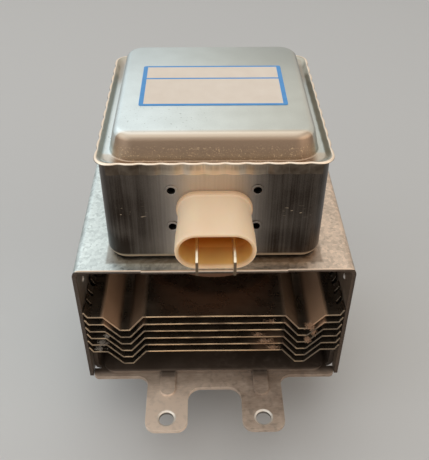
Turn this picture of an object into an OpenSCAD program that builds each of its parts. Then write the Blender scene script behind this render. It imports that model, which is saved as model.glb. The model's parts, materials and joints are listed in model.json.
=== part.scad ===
// Magnetron of a domestic microwave oven.
// The origin is on the tube's axis at the mounting face. +Z points to the filter box, -Y to the connector.

/* [Yoke] */
// Outside width across the two walls
yoke_w = 95; // [88:0.5:110]
// Depth from the front edge to the back edge
yoke_d = 80; // [76:0.5:90]
// Height of the top above the mounting face
yoke_h = 55; // [53:0.5:62]
// Sheet thickness
yoke_t = 1.4; // [1:0.1:2]
// Outside radius of the two bends
yoke_bend_r = 2.6; // [2.2:0.1:5]
// Width of the lip in the middle of the front and back edges
lip_w = 49; // [30:0.5:60]
// How far the lip stands out
lip_out = 0.4; // [0.2:0.1:1.5]
// Height of the walls' lower edges above the mounting face
wall_lift = 0.6; // [0.3:0.1:1.5]

/* [Mounting plate] */
// Sheet thickness
plate_t = 1.6; // [1.2:0.1:2]
// Depth over the edges beside the lugs
plate_d = 82.6; // [82:0.2:92]
// Depth over the edges between the lugs
plate_mid_d = 93.5; // [92:0.5:100]
// Distance between the bolt holes of one pair of lugs
lug_pitch = 35; // [32:0.5:40]
// Distance between the front and the back pair of bolt holes
lug_row_pitch = 120; // [114:0.5:130]
// Width of a lug
lug_w = 15.2; // [12:0.2:18]
// Distance from a bolt hole to the lug's tip
lug_tip = 5.2; // [5:0.2:9]
// Diameter of a bolt hole
lug_hole_d = 5.3; // [4:0.1:6.4]
// Diameter of the coined ring round a bolt hole
lug_coin_d = 7; // [6.6:0.1:10]
// Corner radius of a lug's tip and of its outer root
lug_r = 4; // [2:0.2:5]
// Corner radius of the gap between two lugs
gap_r = 5; // [3:0.2:8]
// Height of the turned-up ends above the mounting face
flange_h = 9.5; // [8:0.5:14]
// Depth of the turned-up ends
flange_d = 72; // [60:1:76]
// Outside radius of the bends
plate_bend_r = 2.6; // [2.2:0.1:4]
// Height that the middle of the plate is pressed up
pan_rise = 0.8; // [0.4:0.1:1.1]
// Depth of the pressed pan
pan_d = 79; // [76:0.5:81]
// Width of the tongue that runs from the pan onto each lug
tongue_w = 5.6; // [4:0.2:8]
// Distance from a tongue's end to the bolt hole
tongue_gap = 9.5; // [7:0.5:12]

/* [Magnets] */
// Outside diameter
magnet_d = 53; // [50:0.5:53.5]
// Bore
magnet_bore = 21; // [20.6:0.1:24]
// Thickness of the upper magnet
upper_magnet_h = 15.1; // [13:0.1:16]
// Thickness of the lower magnet
lower_magnet_h = 11.2; // [9:0.1:12]

/* [Cooling fins] */
// Sheet thickness
fin_t = 0.6; // [0.4:0.05:0.8]
// Distance from one fin to the next
fin_pitch = 3.66; // [3.5:0.02:3.9]
// Height of the lowest fin above the lower end of the anode
fin_start = 1.6; // [1:0.1:3]
// Depth of a fin
fin_d = 82; // [76:0.5:84]
// Width of the flat middle of a fin
fin_flat_w = 50.4; // [46:0.2:54]
// Depth of the dip on each side
fin_dip = 6.7; // [4:0.1:7.2]
// Width of the inner slope of a dip
dip_in_w = 5.2; // [4:0.1:6]
// Width of the flat bottom of a dip
dip_flat_w = 3.1; // [2:0.1:4]
// Width of the outer slope of a dip
dip_out_w = 5.4; // [4:0.1:6]
// Height of the collar on the anode
fin_collar_h = 2.4; // [1:0.1:2.6]
// Length of the sprung comb tabs along the walls
tab_l = 2.5; // [1.5:0.1:2.7]
// Rise of the comb tabs from the fin
tab_angle = 60; // [40:1:75]
// Distance from one comb tab to the next
tab_pitch = 5; // [4:0.1:7]
// Gap between two comb tabs
tab_gap = 1.6; // [1:0.1:2.4]

/* [Tube] */
// Outside diameter of the anode
anode_d = 39; // [37:0.2:41]
// Wall of the anode
anode_wall = 1.8; // [1.4:0.1:2.4]
// Height of the vanes
vane_h = 9.4; // [8:0.1:10]
// Thickness of a vane
vane_t = 1.9; // [1.4:0.1:2.2]
// Radius of the space between the vanes' tips
vane_tip_r = 4.6; // [4.2:0.1:5]
// Sheet thickness of the two seal cups
seal_t = 0.8; // [0.6:0.1:1]
// Outside diameter of the seal cups' necks
neck_d = 19.6; // [18.6:0.1:19.8]
// Height of the input neck above the yoke's top
input_neck_h = 6; // [4:0.5:9]
// Length of the output neck below the mounting face
output_neck_l = 3.5; // [3.5:0.5:6]
// Height of the cathode stem's ceramic
stem_h = 11; // [8:0.5:13]
// Outside diameter of the filament coil
filament_d = 4; // [3.6:0.1:4.4]
// Length of the filament coil
filament_l = 9.6; // [8:0.2:10.4]
// Diameter of the two cathode leads
lead_d = 1.6; // [1.2:0.1:1.8]
// Outside diameter of the output ceramic
ceramic_d = 17.6; // [16.4:0.2:18.4]
// Length of the output ceramic
ceramic_l = 10; // [8:0.5:14]
// Length of the antenna cap
cap_l = 11; // [9:0.5:16]
// Sheet thickness of the antenna cap
cap_t = 0.5; // [0.4:0.1:0.8]
// Outside diameter of the knitted gasket
gasket_d = 31; // [28:0.5:34]
// Thickness of the knitted gasket
gasket_h = 5.6; // [4:0.2:7]

/* [Filter box] */
// Outside width
box_w = 71.8; // [66:0.2:80]
// Outside depth
box_d = 74.1; // [68:0.2:76]
// How far the box sits behind the tube's axis
box_off = 2.5; // [0:0.1:4]
// Height of the box up to the edge that the lid's rim folds over
box_h = 37.5; // [36:0.25:44]
// Sheet thickness
box_t = 0.8; // [0.6:0.1:1]
// Radius of the upright corners
box_r = 7; // [5:0.5:9]
// Radius of the bottom edge
box_edge_r = 3.5; // [2:0.25:4.5]

/* [Lid] */
// Sheet thickness
lid_t = 0.7; // [0.5:0.05:0.9]
// Height of the crimped skirt
skirt_h = 4; // [3:0.25:6]
// Corner radius of the rim
rim_r = 3; // [2:0.25:4]
// Depth of the trough below the rim
trough_depth = 1.75; // [1:0.05:2.4]
// Width of the slope from the rim down to the trough
trough_slope_w = 1.7; // [1.4:0.1:2.2]
// Height of the plateau above the rim
plateau_rise = 6.55; // [4:0.05:8]
// Distance from the rim's edge to the plateau's foot
plateau_inset = 3.9; // [3.2:0.1:6]
// Corner radius of the plateau's foot
plateau_r = 8; // [7:0.25:12]
// Slope of the plateau's wall away from the upright
plateau_draft = 12; // [2:1:16]
// Radius of the plateau's shoulder
shoulder_r = 2.5; // [1.5:0.25:3]
// Distance from one crimp dent to the next
dent_pitch = 6.4; // [5:0.1:9]
// Depth of a crimp dent
dent_depth = 0.3; // [0.1:0.05:0.4]
// Width of a crimp dent
dent_w = 4.8; // [3:0.1:4.9]
// Width of the label
label_w = 48; // [30:0.5:50]
// Depth of the label
label_d = 28.4; // [18:0.2:40]

/* [Connector] */
// Height of the connector's axis above the yoke's top
conn_rise = 21.9; // [20:0.1:24]
// Width at the mouth
conn_w = 24.1; // [22:0.1:28]
// Height at the mouth
conn_h = 13.5; // [12:0.1:14]
// How far the shell stands out from the box
conn_l = 21; // [16:0.5:26]
// Length of the wider part at the mouth
mouth_l = 8.4; // [5:0.2:12]
// How much smaller the shell is behind the wider part
mouth_step = 0.55; // [0.3:0.05:1]
// Wall of the shell
conn_wall = 1.3; // [0.8:0.1:1.8]
// Thickness of the shell's floor
conn_floor = 4; // [2:0.5:6]
// Distance between the two blades
blade_pitch = 10.8; // [8:0.1:11]
// Width of a blade
blade_w = 6.3; // [4.8:0.1:6.5]
// Thickness of a blade
blade_t = 0.8; // [0.5:0.1:1]
// How far the blades stand out of the mouth
blade_out = 7.3; // [2:0.1:9]
// Distance across the capacitor's eyelets
eyelet_pitch_x = 26.8; // [26:0.2:30]
// Distance between the upper and the lower eyelets
eyelet_pitch_z = 14.2; // [13:0.1:16]
// Bore of an eyelet
eyelet_bore = 2.6; // [2:0.1:3]

/* [Filter coils] */
// Diameter of the wire
wire_d = 1.4; // [1:0.1:1.5]
// Diameter of the ferrite cores
core_d = 6.4; // [5:0.1:7]
// Distance between the two coils' axes
choke_pitch = 40; // [36:0.5:44]

/* [Hidden] */
$fn = 64;
// Room between pieces that slip into each other
slip = 0.1;
// Room between round pieces that are brazed or pressed on
seat = 0.05;
// A cut's overrun past the face that it goes through
cut = 1;

// Stack of the tube between the mounting plate and the yoke
pan_top = plate_t + pan_rise;
lower_magnet_top = pan_top + lower_magnet_h;
anode_z0 = lower_magnet_top + seal_t;
upper_magnet_z = yoke_h - yoke_t - upper_magnet_h;
anode_z1 = upper_magnet_z - seal_t;
anode_mid = (anode_z0 + anode_z1) / 2;
anode_r = anode_d / 2;
anode_in_r = anode_r - anode_wall;
brim_r = anode_r - 0.2;
neck_r = neck_d / 2;
neck_hole_r = neck_r + 3 * slip;
magnet_edge = 0.8;

// Yoke and plate
wall_in = yoke_w / 2 - yoke_t;
plate_w = 2 * (wall_in - slip);
plate_flat_w = plate_w - 2 * plate_bend_r;
plate_corner_r = 2;
plate_end_w = plate_w - 2 * slip;
bend_relief = 1.2;
pan_r = 5;
pan_w = plate_flat_w - 2;
pan_wall = 1.2;
lug_span = lug_pitch + lug_w;
lug_coin_depth = 0.5;
tongue_end = lug_row_pitch / 2 - tongue_gap;
wall_stake_d = 3.2;
wall_stake_inset = 9;
wall_stake_y = flange_d / 2 - wall_stake_inset;
wall_stake_z = (flange_h + plate_bend_r) / 2;
box_stake_d = 4.4;
box_stake_bore = 3;
box_stake_head_d = 6;
box_stake_head_t = 0.5;
box_stake_inset = 9.5;
gasket_collar_t = 0.8;
gasket_collar_r = neck_hole_r + gasket_collar_t;

// Fins
fin_count = 6;
fin_bore_r = anode_r + seat;
fin_z = [for (i = [1 : fin_count]) anode_z0 + fin_start + (fin_count - i) * fin_pitch];
slope_in = atan(fin_dip / dip_in_w);
slope_out = atan(fin_dip / dip_out_w);
tab_tip_x = wall_in - slip - fin_t * sin(tab_angle);
tab_root_x = tab_tip_x - tab_l * cos(tab_angle);
tab_count = floor(fin_d / tab_pitch);
tab_cut_depth = 0.5;

// Cavity and cathode
vane_count = 10;
strap_radii = [6.6, 8.4];
strap_w = 1;
strap_h = 1.2;
strap_sink = 0.2;
strap_room = 0.4;
pole_t = 1.6;
pole_gap = 1.7;
pole_hole_r = vane_tip_r + 0.2;
pole_tip_w = 1.9;
pole_brim_w = 4.6;
pole_top = (anode_z1 - anode_z0) / 2;
hat_t = 1.6;
hat_d = filament_d + 3.6;
side_lead_x = hat_d / 2 - lead_d / 2 - 0.2;
filament_wire = 0.5;
filament_turns = 9;
stem_z = yoke_h + input_neck_h;
stem_top = stem_z + stem_h;
lead_top = stem_top + 3;
terminal_t = 0.8;
terminal_h = 7;
terminal_x = 6.4;
terminal_y = 5;
terminal_gap = 0.6;

// Output
ceramic_z1 = -output_neck_l;
ceramic_z0 = ceramic_z1 - ceramic_l;
ceramic_wall = 2.2;
collar_h = 3;
cap_r = ceramic_d / 2 - 0.6;
collar_r = cap_r - cap_t - slip;
cap_z0 = ceramic_z0 - cap_l;
cap_edge_r = 2.5;
exhaust_r = 3.6;
exhaust_wall = 0.9;
exhaust_end = cap_z0 + 2.5;
antenna_lead_d = 2;
// Bends of the antenna's lead: distance from the axis and drop below the vane
antenna_bends = [[11, 0], [11, 2.4], [8.4, 5], [6, 8], [3.4, 13], [1, 17.5], [0, 21]];
antenna_hole_x = 9.6;
antenna_hole_r = 3.2;

// Filter box and lid
slope_r = box_r + slip;
// The rim's height above the box's edge, rounded up so that the slope clears the edge
rim_rise = ceil(20 * (slip + lid_t + trough_depth * (box_t + slip) / trough_slope_w)) / 20;
rim_z = yoke_h + box_h + rim_rise;
box_front = box_off - box_d / 2;
rim_w = box_w + 2 * (slip + lid_t);
rim_d = box_d + 2 * (slip + lid_t);
trough_w = rim_w - 2 * (lid_t + trough_slope_w);
trough_d = rim_d - 2 * (lid_t + trough_slope_w);
trough_r = slope_r - trough_slope_w;
trough_top = rim_z - trough_depth;
trough_z = trough_top - lid_t;
plateau_w = rim_w - 2 * plateau_inset;
plateau_d = rim_d - 2 * plateau_inset;
lid_top = rim_z + plateau_rise;
wall_run = (lid_top - shoulder_r - trough_z) * sin(plateau_draft);
shoulder_x = plateau_r - (shoulder_r + wall_run) / cos(plateau_draft);
// How far a wall's line is let into the bend that it runs up to
tangent_room = 0.002;
dent_r = (dent_w * dent_w / 4 + dent_depth * dent_depth) / (2 * dent_depth);
label_t = 0.15;
label_r = 0.8;

// Connector and capacitor
conn_z = yoke_h + conn_rise;
conn_base_w = conn_w - 2 * mouth_step;
conn_base_h = conn_h - 2 * mouth_step;
conn_collar = 0.6;
conn_collar_t = 1.4;
mouth_y = box_front - conn_l;
flange_y = box_front + box_t;
flange_t = 0.8;
capacitor_y = flange_y + flange_t;
flange_margin = 3.4;
flange_r = 3;
eyelet_t = 0.4;
eyelet_rim_d = eyelet_bore + 1.4;
eyelet_rim_t = 0.35;
ceramic_block_l = 8;
case_wall = 1.2;
case_floor = 2;
case_l = ceramic_block_l + case_floor;
blade_tip_l = 1.8;
blade_tip_w = 0.75;
blade_hole_d = 1.7;
blade_hole_back = 3.6;
blade_in = 7;
blade_back = capacitor_y + case_l + blade_in;

// Filter coils
wire_r = wire_d / 2;
wire_sides = 6;
turn_steps = 12;
choke_turns = 9.5;
choke_turn_pitch = 2 * wire_d + 0.6;
choke_x = choke_pitch / 2;
coil_r = core_d / 2 + wire_r + 0.3;
choke_y0 = blade_back + 4;
choke_y1 = choke_y0 + choke_turns * choke_turn_pitch;
core_over = 2;
core_edge = 0.6;

SIDES = [["left", -1], ["right", 1]];
PAIRS = ["filament_terminal", "terminal_blade", "choke_coil", "ferrite_core"];

// Flat shapes

module rounded_rect(w, d, r) {
    square([w - 2 * r, d], center = true);
    square([w, d - 2 * r], center = true);
    for (x = [-1, 1], y = [-1, 1]) translate([x * (w / 2 - r), y * (d / 2 - r)]) circle(r);
}

module stadium(w, h) {
    square([w - h, h], center = true);
    for (s = [-1, 1]) translate([s * (w - h) / 2, 0]) circle(d = h);
}

// Fills the inner corner at the origin, between an edge along +X and an edge along +Y
module corner_fill(r) {
    difference() {
        square(r);
        translate([r, r]) circle(r);
    }
}

// A quarter turn of sheet, on the side of its centre that qx and qy give
module sheet_bend(r_in, t, qx, qy) {
    r_out = r_in + t;
    intersection() {
        difference() {
            circle(r_out);
            circle(r_in);
        }
        translate([min(qx, 0) * r_out, min(qy, 0) * r_out]) square(r_out);
    }
}

// A block that stands on the X axis, with its two upper corners rounded
module arch_block(w, h, r) {
    translate([-w / 2, 0]) square([w, h - r]);
    translate([-w / 2 + r, 0]) square([w - 2 * r, h]);
    for (s = [-1, 1]) translate([s * (w / 2 - r), h - r]) circle(r);
}

// Section of a sheet that is bent twice into an arch
module arch_section(w, h, t, r) {
    difference() {
        arch_block(w, h, r);
        translate([0, -cut]) arch_block(w - 2 * t, h - t + cut, r - t);
    }
}

// Solids from flat shapes

module tube(r_out, r_in, z0, z1) {
    translate([0, 0, z0]) linear_extrude(z1 - z0) difference() {
        circle(r_out);
        circle(r_in);
    }
}

// Extrudes a flat shape in X and Z from y0 to y1
module along_y(y0, y1) {
    translate([0, y1, 0]) rotate([90, 0, 0]) linear_extrude(y1 - y0) children();
}

// Carries a section round a rectangle with rounded corners: X of the section is the distance from the
// corner's centre, Y is the height
module around_frame(w, d, r) {
    for (i = [0 : 3]) {
        across = i % 2 == 0 ? w : d;
        along = i % 2 == 0 ? d : w;
        rotate([0, 0, 90 * i]) translate([across / 2 - r, along / 2 - r, 0]) {
            rotate_extrude(angle = 90) children();
            rotate([90, 0, 0]) linear_extrude(along - 2 * r) children();
        }
    }
}

// Round wire along a list of points

function unit(v) = v / norm(v);
function heading(p, i) = unit(p[min(i + 1, len(p) - 1)] - p[max(i - 1, 0)]);
function carried(n, t) = unit(n - (n * t) * t);
function normals(p, n, i = 0) =
    i == len(p) ? [] : let (m = carried(n, heading(p, i))) concat([m], normals(p, m, i + 1));

module wire(p, r, start_normal) {
    n = normals(p, start_normal);
    points = [
        for (i = [0 : len(p) - 1], k = [0 : wire_sides - 1])
            p[i] + r * (cos(360 * k / wire_sides) * n[i]
                        + sin(360 * k / wire_sides) * cross(heading(p, i), n[i]))
    ];
    walls = [
        for (i = [0 : len(p) - 2], k = [0 : wire_sides - 1])
            let (a = i * wire_sides + k, b = i * wire_sides + (k + 1) % wire_sides)
            each [[a, a + wire_sides, b + wire_sides], [a, b + wire_sides, b]]
    ];
    start_cap = [for (k = [0 : wire_sides - 1]) k];
    end_cap = [for (k = [1 : wire_sides]) len(points) - k];
    polyhedron(points, concat([start_cap, end_cap], walls));
}

// Yoke and mounting plate

module box_stakes_at() {
    for (x = [-1, 1], y = [-1, 1])
        translate([x * (box_w / 2 - box_stake_inset), box_off + y * (box_d / 2 - box_stake_inset), yoke_h])
            children();
}

module wall_stakes_at() {
    for (side = SIDES, y = [-1, 1])
        translate([0, y * wall_stake_y, wall_stake_z]) rotate([0, 90 * side[1], 0]) children();
}

module yoke_frame() {
    color([0.78, 0.8, 0.78]) difference() {
        union() {
            translate([0, 0, wall_lift]) along_y(-yoke_d / 2, yoke_d / 2)
                arch_section(yoke_w, yoke_h - wall_lift, yoke_t, yoke_bend_r);
            translate([-lip_w / 2, -yoke_d / 2 - lip_out, yoke_h - yoke_t])
                cube([lip_w, yoke_d + 2 * lip_out, yoke_t]);
            box_stakes_at() {
                translate([0, 0, -yoke_t]) cylinder(d = box_stake_d, h = yoke_t + box_t + box_stake_head_t);
                translate([0, 0, box_t]) cylinder(d = box_stake_head_d, h = box_stake_head_t);
            }
        }
        translate([0, 0, yoke_h - yoke_t - cut]) cylinder(r = neck_hole_r, h = yoke_t + 2 * cut);
        box_stakes_at() translate([0, 0, -yoke_t - cut])
            cylinder(d = box_stake_bore, h = yoke_t + box_t + box_stake_head_t + 2 * cut);
        wall_stakes_at() translate([0, 0, wall_in - cut])
            cylinder(d = wall_stake_d + 2 * slip, h = yoke_t + 2 * cut);
    }
}

module lugs_outline() {
    mid = plate_mid_d / 2;
    tip = lug_row_pitch / 2 + lug_tip;
    translate([-lug_span / 2, 0]) square([lug_span, mid]);
    for (s = [-1, 1]) {
        translate([s * lug_pitch / 2, tip / 2]) rounded_rect(lug_w, tip, lug_r);
        translate([s * (lug_pitch - lug_w) / 2, mid]) mirror([s < 0 ? 0 : 1, 0]) corner_fill(gap_r);
        translate([s * lug_span / 2, plate_d / 2]) mirror([s < 0 ? 1 : 0, 0]) corner_fill(lug_r);
    }
}

// The plate is full width only beyond the slits that let its ends be turned up
module plate_outline() {
    rounded_rect(plate_flat_w, plate_d, plate_corner_r);
    difference() {
        rounded_rect(plate_end_w, plate_d, plate_corner_r);
        square([plate_w, flange_d + 2 * bend_relief], center = true);
    }
    for (turn = [0, 180]) rotate(turn) lugs_outline();
}

// The pressed pan with its four tongues, drawn smaller by inset
module pan_outline(inset) {
    rounded_rect(pan_w - 2 * inset, pan_d - 2 * inset, pan_r - inset);
    for (x = [-1, 1])
        translate([x * lug_pitch / 2, 0]) rotate(90)
            stadium(2 * (tongue_end - inset), tongue_w - 2 * inset);
}

module mounting_plate() {
    color([0.72, 0.66, 0.6]) difference() {
        union() {
            along_y(-flange_d / 2, flange_d / 2) translate([0, flange_h]) mirror([0, 1])
                arch_section(plate_w, flange_h, plate_t, plate_bend_r);
            linear_extrude(plate_t) plate_outline();
            linear_extrude(pan_top) pan_outline(0);
            wall_stakes_at() translate([0, 0, plate_w / 2 - plate_t])
                cylinder(d = wall_stake_d, h = plate_t + slip + yoke_t);
        }
        translate([0, 0, -cut]) linear_extrude(pan_rise + cut) difference() {
            pan_outline(pan_wall);
            circle(gasket_collar_r);
        }
        translate([0, 0, -cut]) cylinder(r = neck_hole_r, h = pan_top + 2 * cut);
        for (x = [-1, 1], y = [-1, 1]) translate([x * lug_pitch / 2, y * lug_row_pitch / 2, 0]) {
            translate([0, 0, -cut]) cylinder(d = lug_hole_d, h = plate_t + 2 * cut);
            translate([0, 0, plate_t - lug_coin_depth])
                cylinder(d1 = lug_hole_d, d2 = lug_coin_d, h = lug_coin_depth);
        }
    }
}

// Magnets

module ring_magnet(z, h) {
    r = magnet_d / 2;
    bore = magnet_bore / 2;
    e = magnet_edge;
    color([0.25, 0.22, 0.2]) translate([0, 0, z]) rotate_extrude()
        polygon([
            [bore + e, 0], [r - e, 0], [r, e], [r, h - e],
            [r - e, h], [bore + e, h], [bore, h - e], [bore, e]
        ]);
}

module upper_magnet() {
    ring_magnet(upper_magnet_z, upper_magnet_h);
}

module lower_magnet() {
    ring_magnet(pan_top, lower_magnet_h);
}

// Cooling fins

// Half of a fin's section. The lower line is the upper one moved by the sheet's thickness, so each
// bend's lower point moves sideways by the thickness times the tangent of half the bend.
function fin_upper() =
    let (x0 = fin_flat_w / 2, x1 = x0 + dip_in_w, x2 = x1 + dip_flat_w, x3 = x2 + dip_out_w)
    [[x0, 0], [x1, -fin_dip], [x2, -fin_dip], [x3, 0], [tab_root_x, 0],
     [tab_tip_x, tab_l * sin(tab_angle)]];
function fin_lower() =
    let (p = fin_upper(), in = fin_t * tan(slope_in / 2), out = fin_t * tan(slope_out / 2))
    [p[0] + [-in, -fin_t], p[1] + [-in, -fin_t], p[2] + [out, -fin_t], p[3] + [out, -fin_t],
     p[4] + [fin_t * tan(tab_angle / 2), -fin_t], p[5] + fin_t * [sin(tab_angle), -cos(tab_angle)]];
function reversed(p) = [for (i = [len(p) - 1 : -1 : 0]) p[i]];
function mirrored(p) = [for (q = p) [-q[0], q[1]]];

module fin_section() {
    right = concat(fin_upper(), reversed(fin_lower()));
    polygon(concat(right, reversed(mirrored(right))));
}

module cooling_fin(i) {
    tab_cut_x = tab_root_x - tab_cut_depth;
    color([0.74, 0.72, 0.69]) translate([0, 0, fin_z[i - 1]]) difference() {
        union() {
            along_y(-fin_d / 2, fin_d / 2) fin_section();
            translate([0, 0, -fin_t]) cylinder(r = fin_bore_r + fin_t, h = fin_t + fin_collar_h);
        }
        translate([0, 0, -fin_t - cut]) cylinder(r = fin_bore_r, h = fin_t + fin_collar_h + 2 * cut);
        for (k = [1 : tab_count - 1], s = [-1, 1])
            translate([0, (k - tab_count / 2) * tab_pitch - tab_gap / 2, -fin_t - cut])
                translate([s > 0 ? tab_cut_x : -wall_in, 0, 0])
                    cube([wall_in - tab_cut_x, tab_gap, tab_l + fin_t + 2 * cut]);
    }
}

// Cavity of the tube

module anode_cylinder() {
    color([0.72, 0.45, 0.28]) tube(anode_r, anode_in_r, anode_z0, anode_z1);
}

// One vane along +X. Each strap rests in the vanes of its own set and clears the others.
module vane(set) {
    difference() {
        intersection() {
            translate([vane_tip_r, -vane_t / 2, -vane_h / 2]) cube([anode_in_r, vane_t, vane_h]);
            cylinder(r = anode_in_r - seat, h = vane_h, center = true);
        }
        for (i = [0, 1], turn = [0, 180]) rotate([turn, 0, 0]) {
            room = i == set ? seat : strap_room;
            floor_z = vane_h / 2 - strap_h - strap_sink - (i == set ? 0 : strap_room);
            half = strap_w / 2 + room;
            tube(strap_radii[i] + half, strap_radii[i] - half, floor_z, vane_h / 2 + cut);
        }
    }
}

module anode_vanes() {
    color([0.76, 0.48, 0.3]) translate([0, 0, anode_mid])
        for (i = [0 : vane_count - 1]) rotate([0, 0, i * 360 / vane_count]) vane(i % 2);
}

module strap_rings() {
    color([0.8, 0.52, 0.34]) translate([0, 0, anode_mid])
        for (r = strap_radii, turn = [0, 180]) rotate([turn, 0, 0])
            translate([0, 0, vane_h / 2 - strap_sink - strap_h])
                tube(r + strap_w / 2, r - strap_w / 2, 0, strap_h);
}

// Iron funnel in the upper end of the anode, measured from the middle of the cavity
module pole_funnel() {
    r = anode_in_r - seat;
    tip = vane_h / 2 + pole_gap;
    rotate_extrude() polygon([
        [pole_hole_r, tip], [pole_hole_r + pole_tip_w, tip], [r - pole_brim_w, pole_top - pole_t],
        [r, pole_top - pole_t], [r, pole_top], [r - pole_brim_w - pole_t / 2, pole_top],
        [pole_hole_r + pole_tip_w / 2, tip + pole_t], [pole_hole_r, tip + pole_t]
    ]);
}

module upper_pole_piece() {
    color([0.5, 0.5, 0.52]) translate([0, 0, anode_mid]) pole_funnel();
}

module lower_pole_piece() {
    color([0.5, 0.5, 0.52]) difference() {
        translate([0, 0, anode_mid]) mirror([0, 0, 1]) pole_funnel();
        translate([antenna_hole_x, 0, anode_z0 - cut]) cylinder(r = antenna_hole_r, h = anode_mid - anode_z0);
    }
}

// A cup whose brim closes the anode's end and whose neck runs through the magnet
module seal_cup(brim_z0, neck_z0, neck_z1) {
    color([0.7, 0.7, 0.68]) {
        tube(brim_r, neck_r - seal_t, brim_z0, brim_z0 + seal_t);
        tube(neck_r, neck_r - seal_t, neck_z0, neck_z1);
    }
}

module input_seal_cup() {
    seal_cup(anode_z1, anode_z1, stem_z);
}

module output_seal_cup() {
    seal_cup(lower_magnet_top, ceramic_z1, anode_z0);
}

// Cathode

module cathode_stem_ceramic() {
    color([0.9, 0.86, 0.82]) difference() {
        translate([0, 0, stem_z]) cylinder(r = neck_r, h = stem_h);
        for (x = [0, side_lead_x])
            translate([x, 0, stem_z - cut]) cylinder(d = lead_d + 2 * seat, h = stem_h + 2 * cut);
    }
}

module filament_coil() {
    r = (filament_d - filament_wire) / 2;
    rise = filament_l - filament_wire;
    steps = filament_turns * turn_steps;
    route = [
        for (i = [0 : steps])
            let (a = 360 * i / turn_steps)
            [r * cos(a), r * sin(a), anode_mid - rise / 2 + rise * i / steps]
    ];
    color([0.35, 0.35, 0.36]) wire(route, filament_wire / 2, [0, 0, 1]);
}

module upper_end_hat() {
    color([0.45, 0.45, 0.47]) translate([0, 0, anode_mid + filament_l / 2]) difference() {
        cylinder(d = hat_d, h = hat_t);
        translate([0, 0, -cut]) cylinder(d = lead_d + 4 * slip, h = hat_t + 2 * cut);
    }
}

module lower_end_hat() {
    color([0.45, 0.45, 0.47]) translate([0, 0, anode_mid - filament_l / 2 - hat_t]) difference() {
        cylinder(d = hat_d, h = hat_t);
        translate([0, 0, -cut]) cylinder(d = lead_d + 2 * seat, h = hat_t + 2 * cut);
    }
}

module centre_lead() {
    z0 = anode_mid - filament_l / 2 - hat_t;
    color([0.55, 0.55, 0.56]) translate([0, 0, z0]) cylinder(d = lead_d, h = lead_top - z0);
}

module side_lead() {
    z0 = anode_mid + filament_l / 2 + hat_t;
    color([0.55, 0.55, 0.56]) translate([side_lead_x, 0, z0]) cylinder(d = lead_d, h = lead_top - z0);
}

// An angle on the stem: its foot takes a lead, its upright takes a choke coil's wire
module filament_terminal(s) {
    lead_x = s < 0 ? 0 : side_lead_x;
    inner_x = (side_lead_x + s * terminal_gap) / 2;
    outer_x = s * (terminal_x + terminal_t / 2);
    color([0.7, 0.7, 0.7]) difference() {
        union() {
            translate([min(inner_x, outer_x), -terminal_y / 2, stem_top])
                cube([abs(outer_x - inner_x), terminal_y, terminal_t]);
            translate([s * terminal_x - terminal_t / 2, -terminal_y / 2, stem_top])
                cube([terminal_t, terminal_y, terminal_h]);
        }
        translate([lead_x, 0, stem_top - cut]) cylinder(d = lead_d + 2 * seat, h = terminal_t + 2 * cut);
    }
}

// Output

module output_ceramic() {
    color([0.86, 0.74, 0.68]) tube(ceramic_d / 2, ceramic_d / 2 - ceramic_wall, ceramic_z0, ceramic_z1);
}

module antenna_lead() {
    vane_z = anode_mid - vane_h / 2;
    route = concat(
        [for (bend = antenna_bends) [bend[0], 0, vane_z - bend[1]]],
        [[0, 0, exhaust_end + exhaust_wall]]);
    color([0.74, 0.46, 0.28]) wire(route, antenna_lead_d / 2, [0, 1, 0]);
}

// A collar under the ceramic with the tube that the air was drawn out of
module exhaust_tube() {
    color([0.76, 0.5, 0.32]) difference() {
        union() {
            translate([0, 0, ceramic_z0 - collar_h]) cylinder(r = collar_r, h = collar_h);
            translate([0, 0, exhaust_end]) cylinder(r = exhaust_r, h = ceramic_z0 - exhaust_end);
        }
        translate([0, 0, exhaust_end + exhaust_wall])
            cylinder(r = exhaust_r - exhaust_wall, h = ceramic_z0 - exhaust_end);
    }
}

module antenna_cap() {
    inner_edge = cap_edge_r - cap_t;
    color([0.76, 0.76, 0.74]) rotate_extrude() {
        translate([cap_r - cap_t, cap_z0 + cap_edge_r]) square([cap_t, cap_l - cap_edge_r]);
        translate([cap_r - cap_edge_r, cap_z0 + cap_edge_r]) sheet_bend(inner_edge, cap_t, 1, -1);
        translate([0, cap_z0]) square([cap_r - cap_edge_r, cap_t]);
    }
}

module rf_gasket() {
    r_in = gasket_collar_r + slip;
    r_out = gasket_d / 2;
    color([0.62, 0.6, 0.56]) rotate_extrude()
        translate([(r_in + r_out) / 2, pan_rise - gasket_h / 2]) rounded_rect(r_out - r_in, gasket_h, 1.4);
}

// Filter box

module filter_box() {
    color([0.62, 0.56, 0.48]) difference() {
        translate([0, box_off, yoke_h]) {
            around_frame(box_w, box_d, box_r) {
                translate([box_r - box_t, box_edge_r]) square([box_t, box_h - box_edge_r]);
                translate([box_r - box_edge_r, box_edge_r]) sheet_bend(box_edge_r - box_t, box_t, 1, -1);
                square([box_r - box_edge_r, box_t]);
            }
            translate([-box_w / 2 + box_r, -box_d / 2 + box_r, 0])
                cube([box_w - 2 * box_r, box_d - 2 * box_r, box_t]);
        }
        translate([0, 0, yoke_h - cut]) cylinder(r = neck_hole_r, h = box_t + 2 * cut);
        box_stakes_at() translate([0, 0, -cut]) cylinder(d = box_stake_d + 2 * slip, h = box_t + 2 * cut);
        translate([0, 0, conn_z]) along_y(box_front - cut, box_front + box_t + cut) {
            stadium(conn_base_w + 2 * slip, conn_base_h + 2 * slip);
            eyelets_at() circle(d = eyelet_bore + 2 * (eyelet_t + slip));
        }
    }
}

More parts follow.
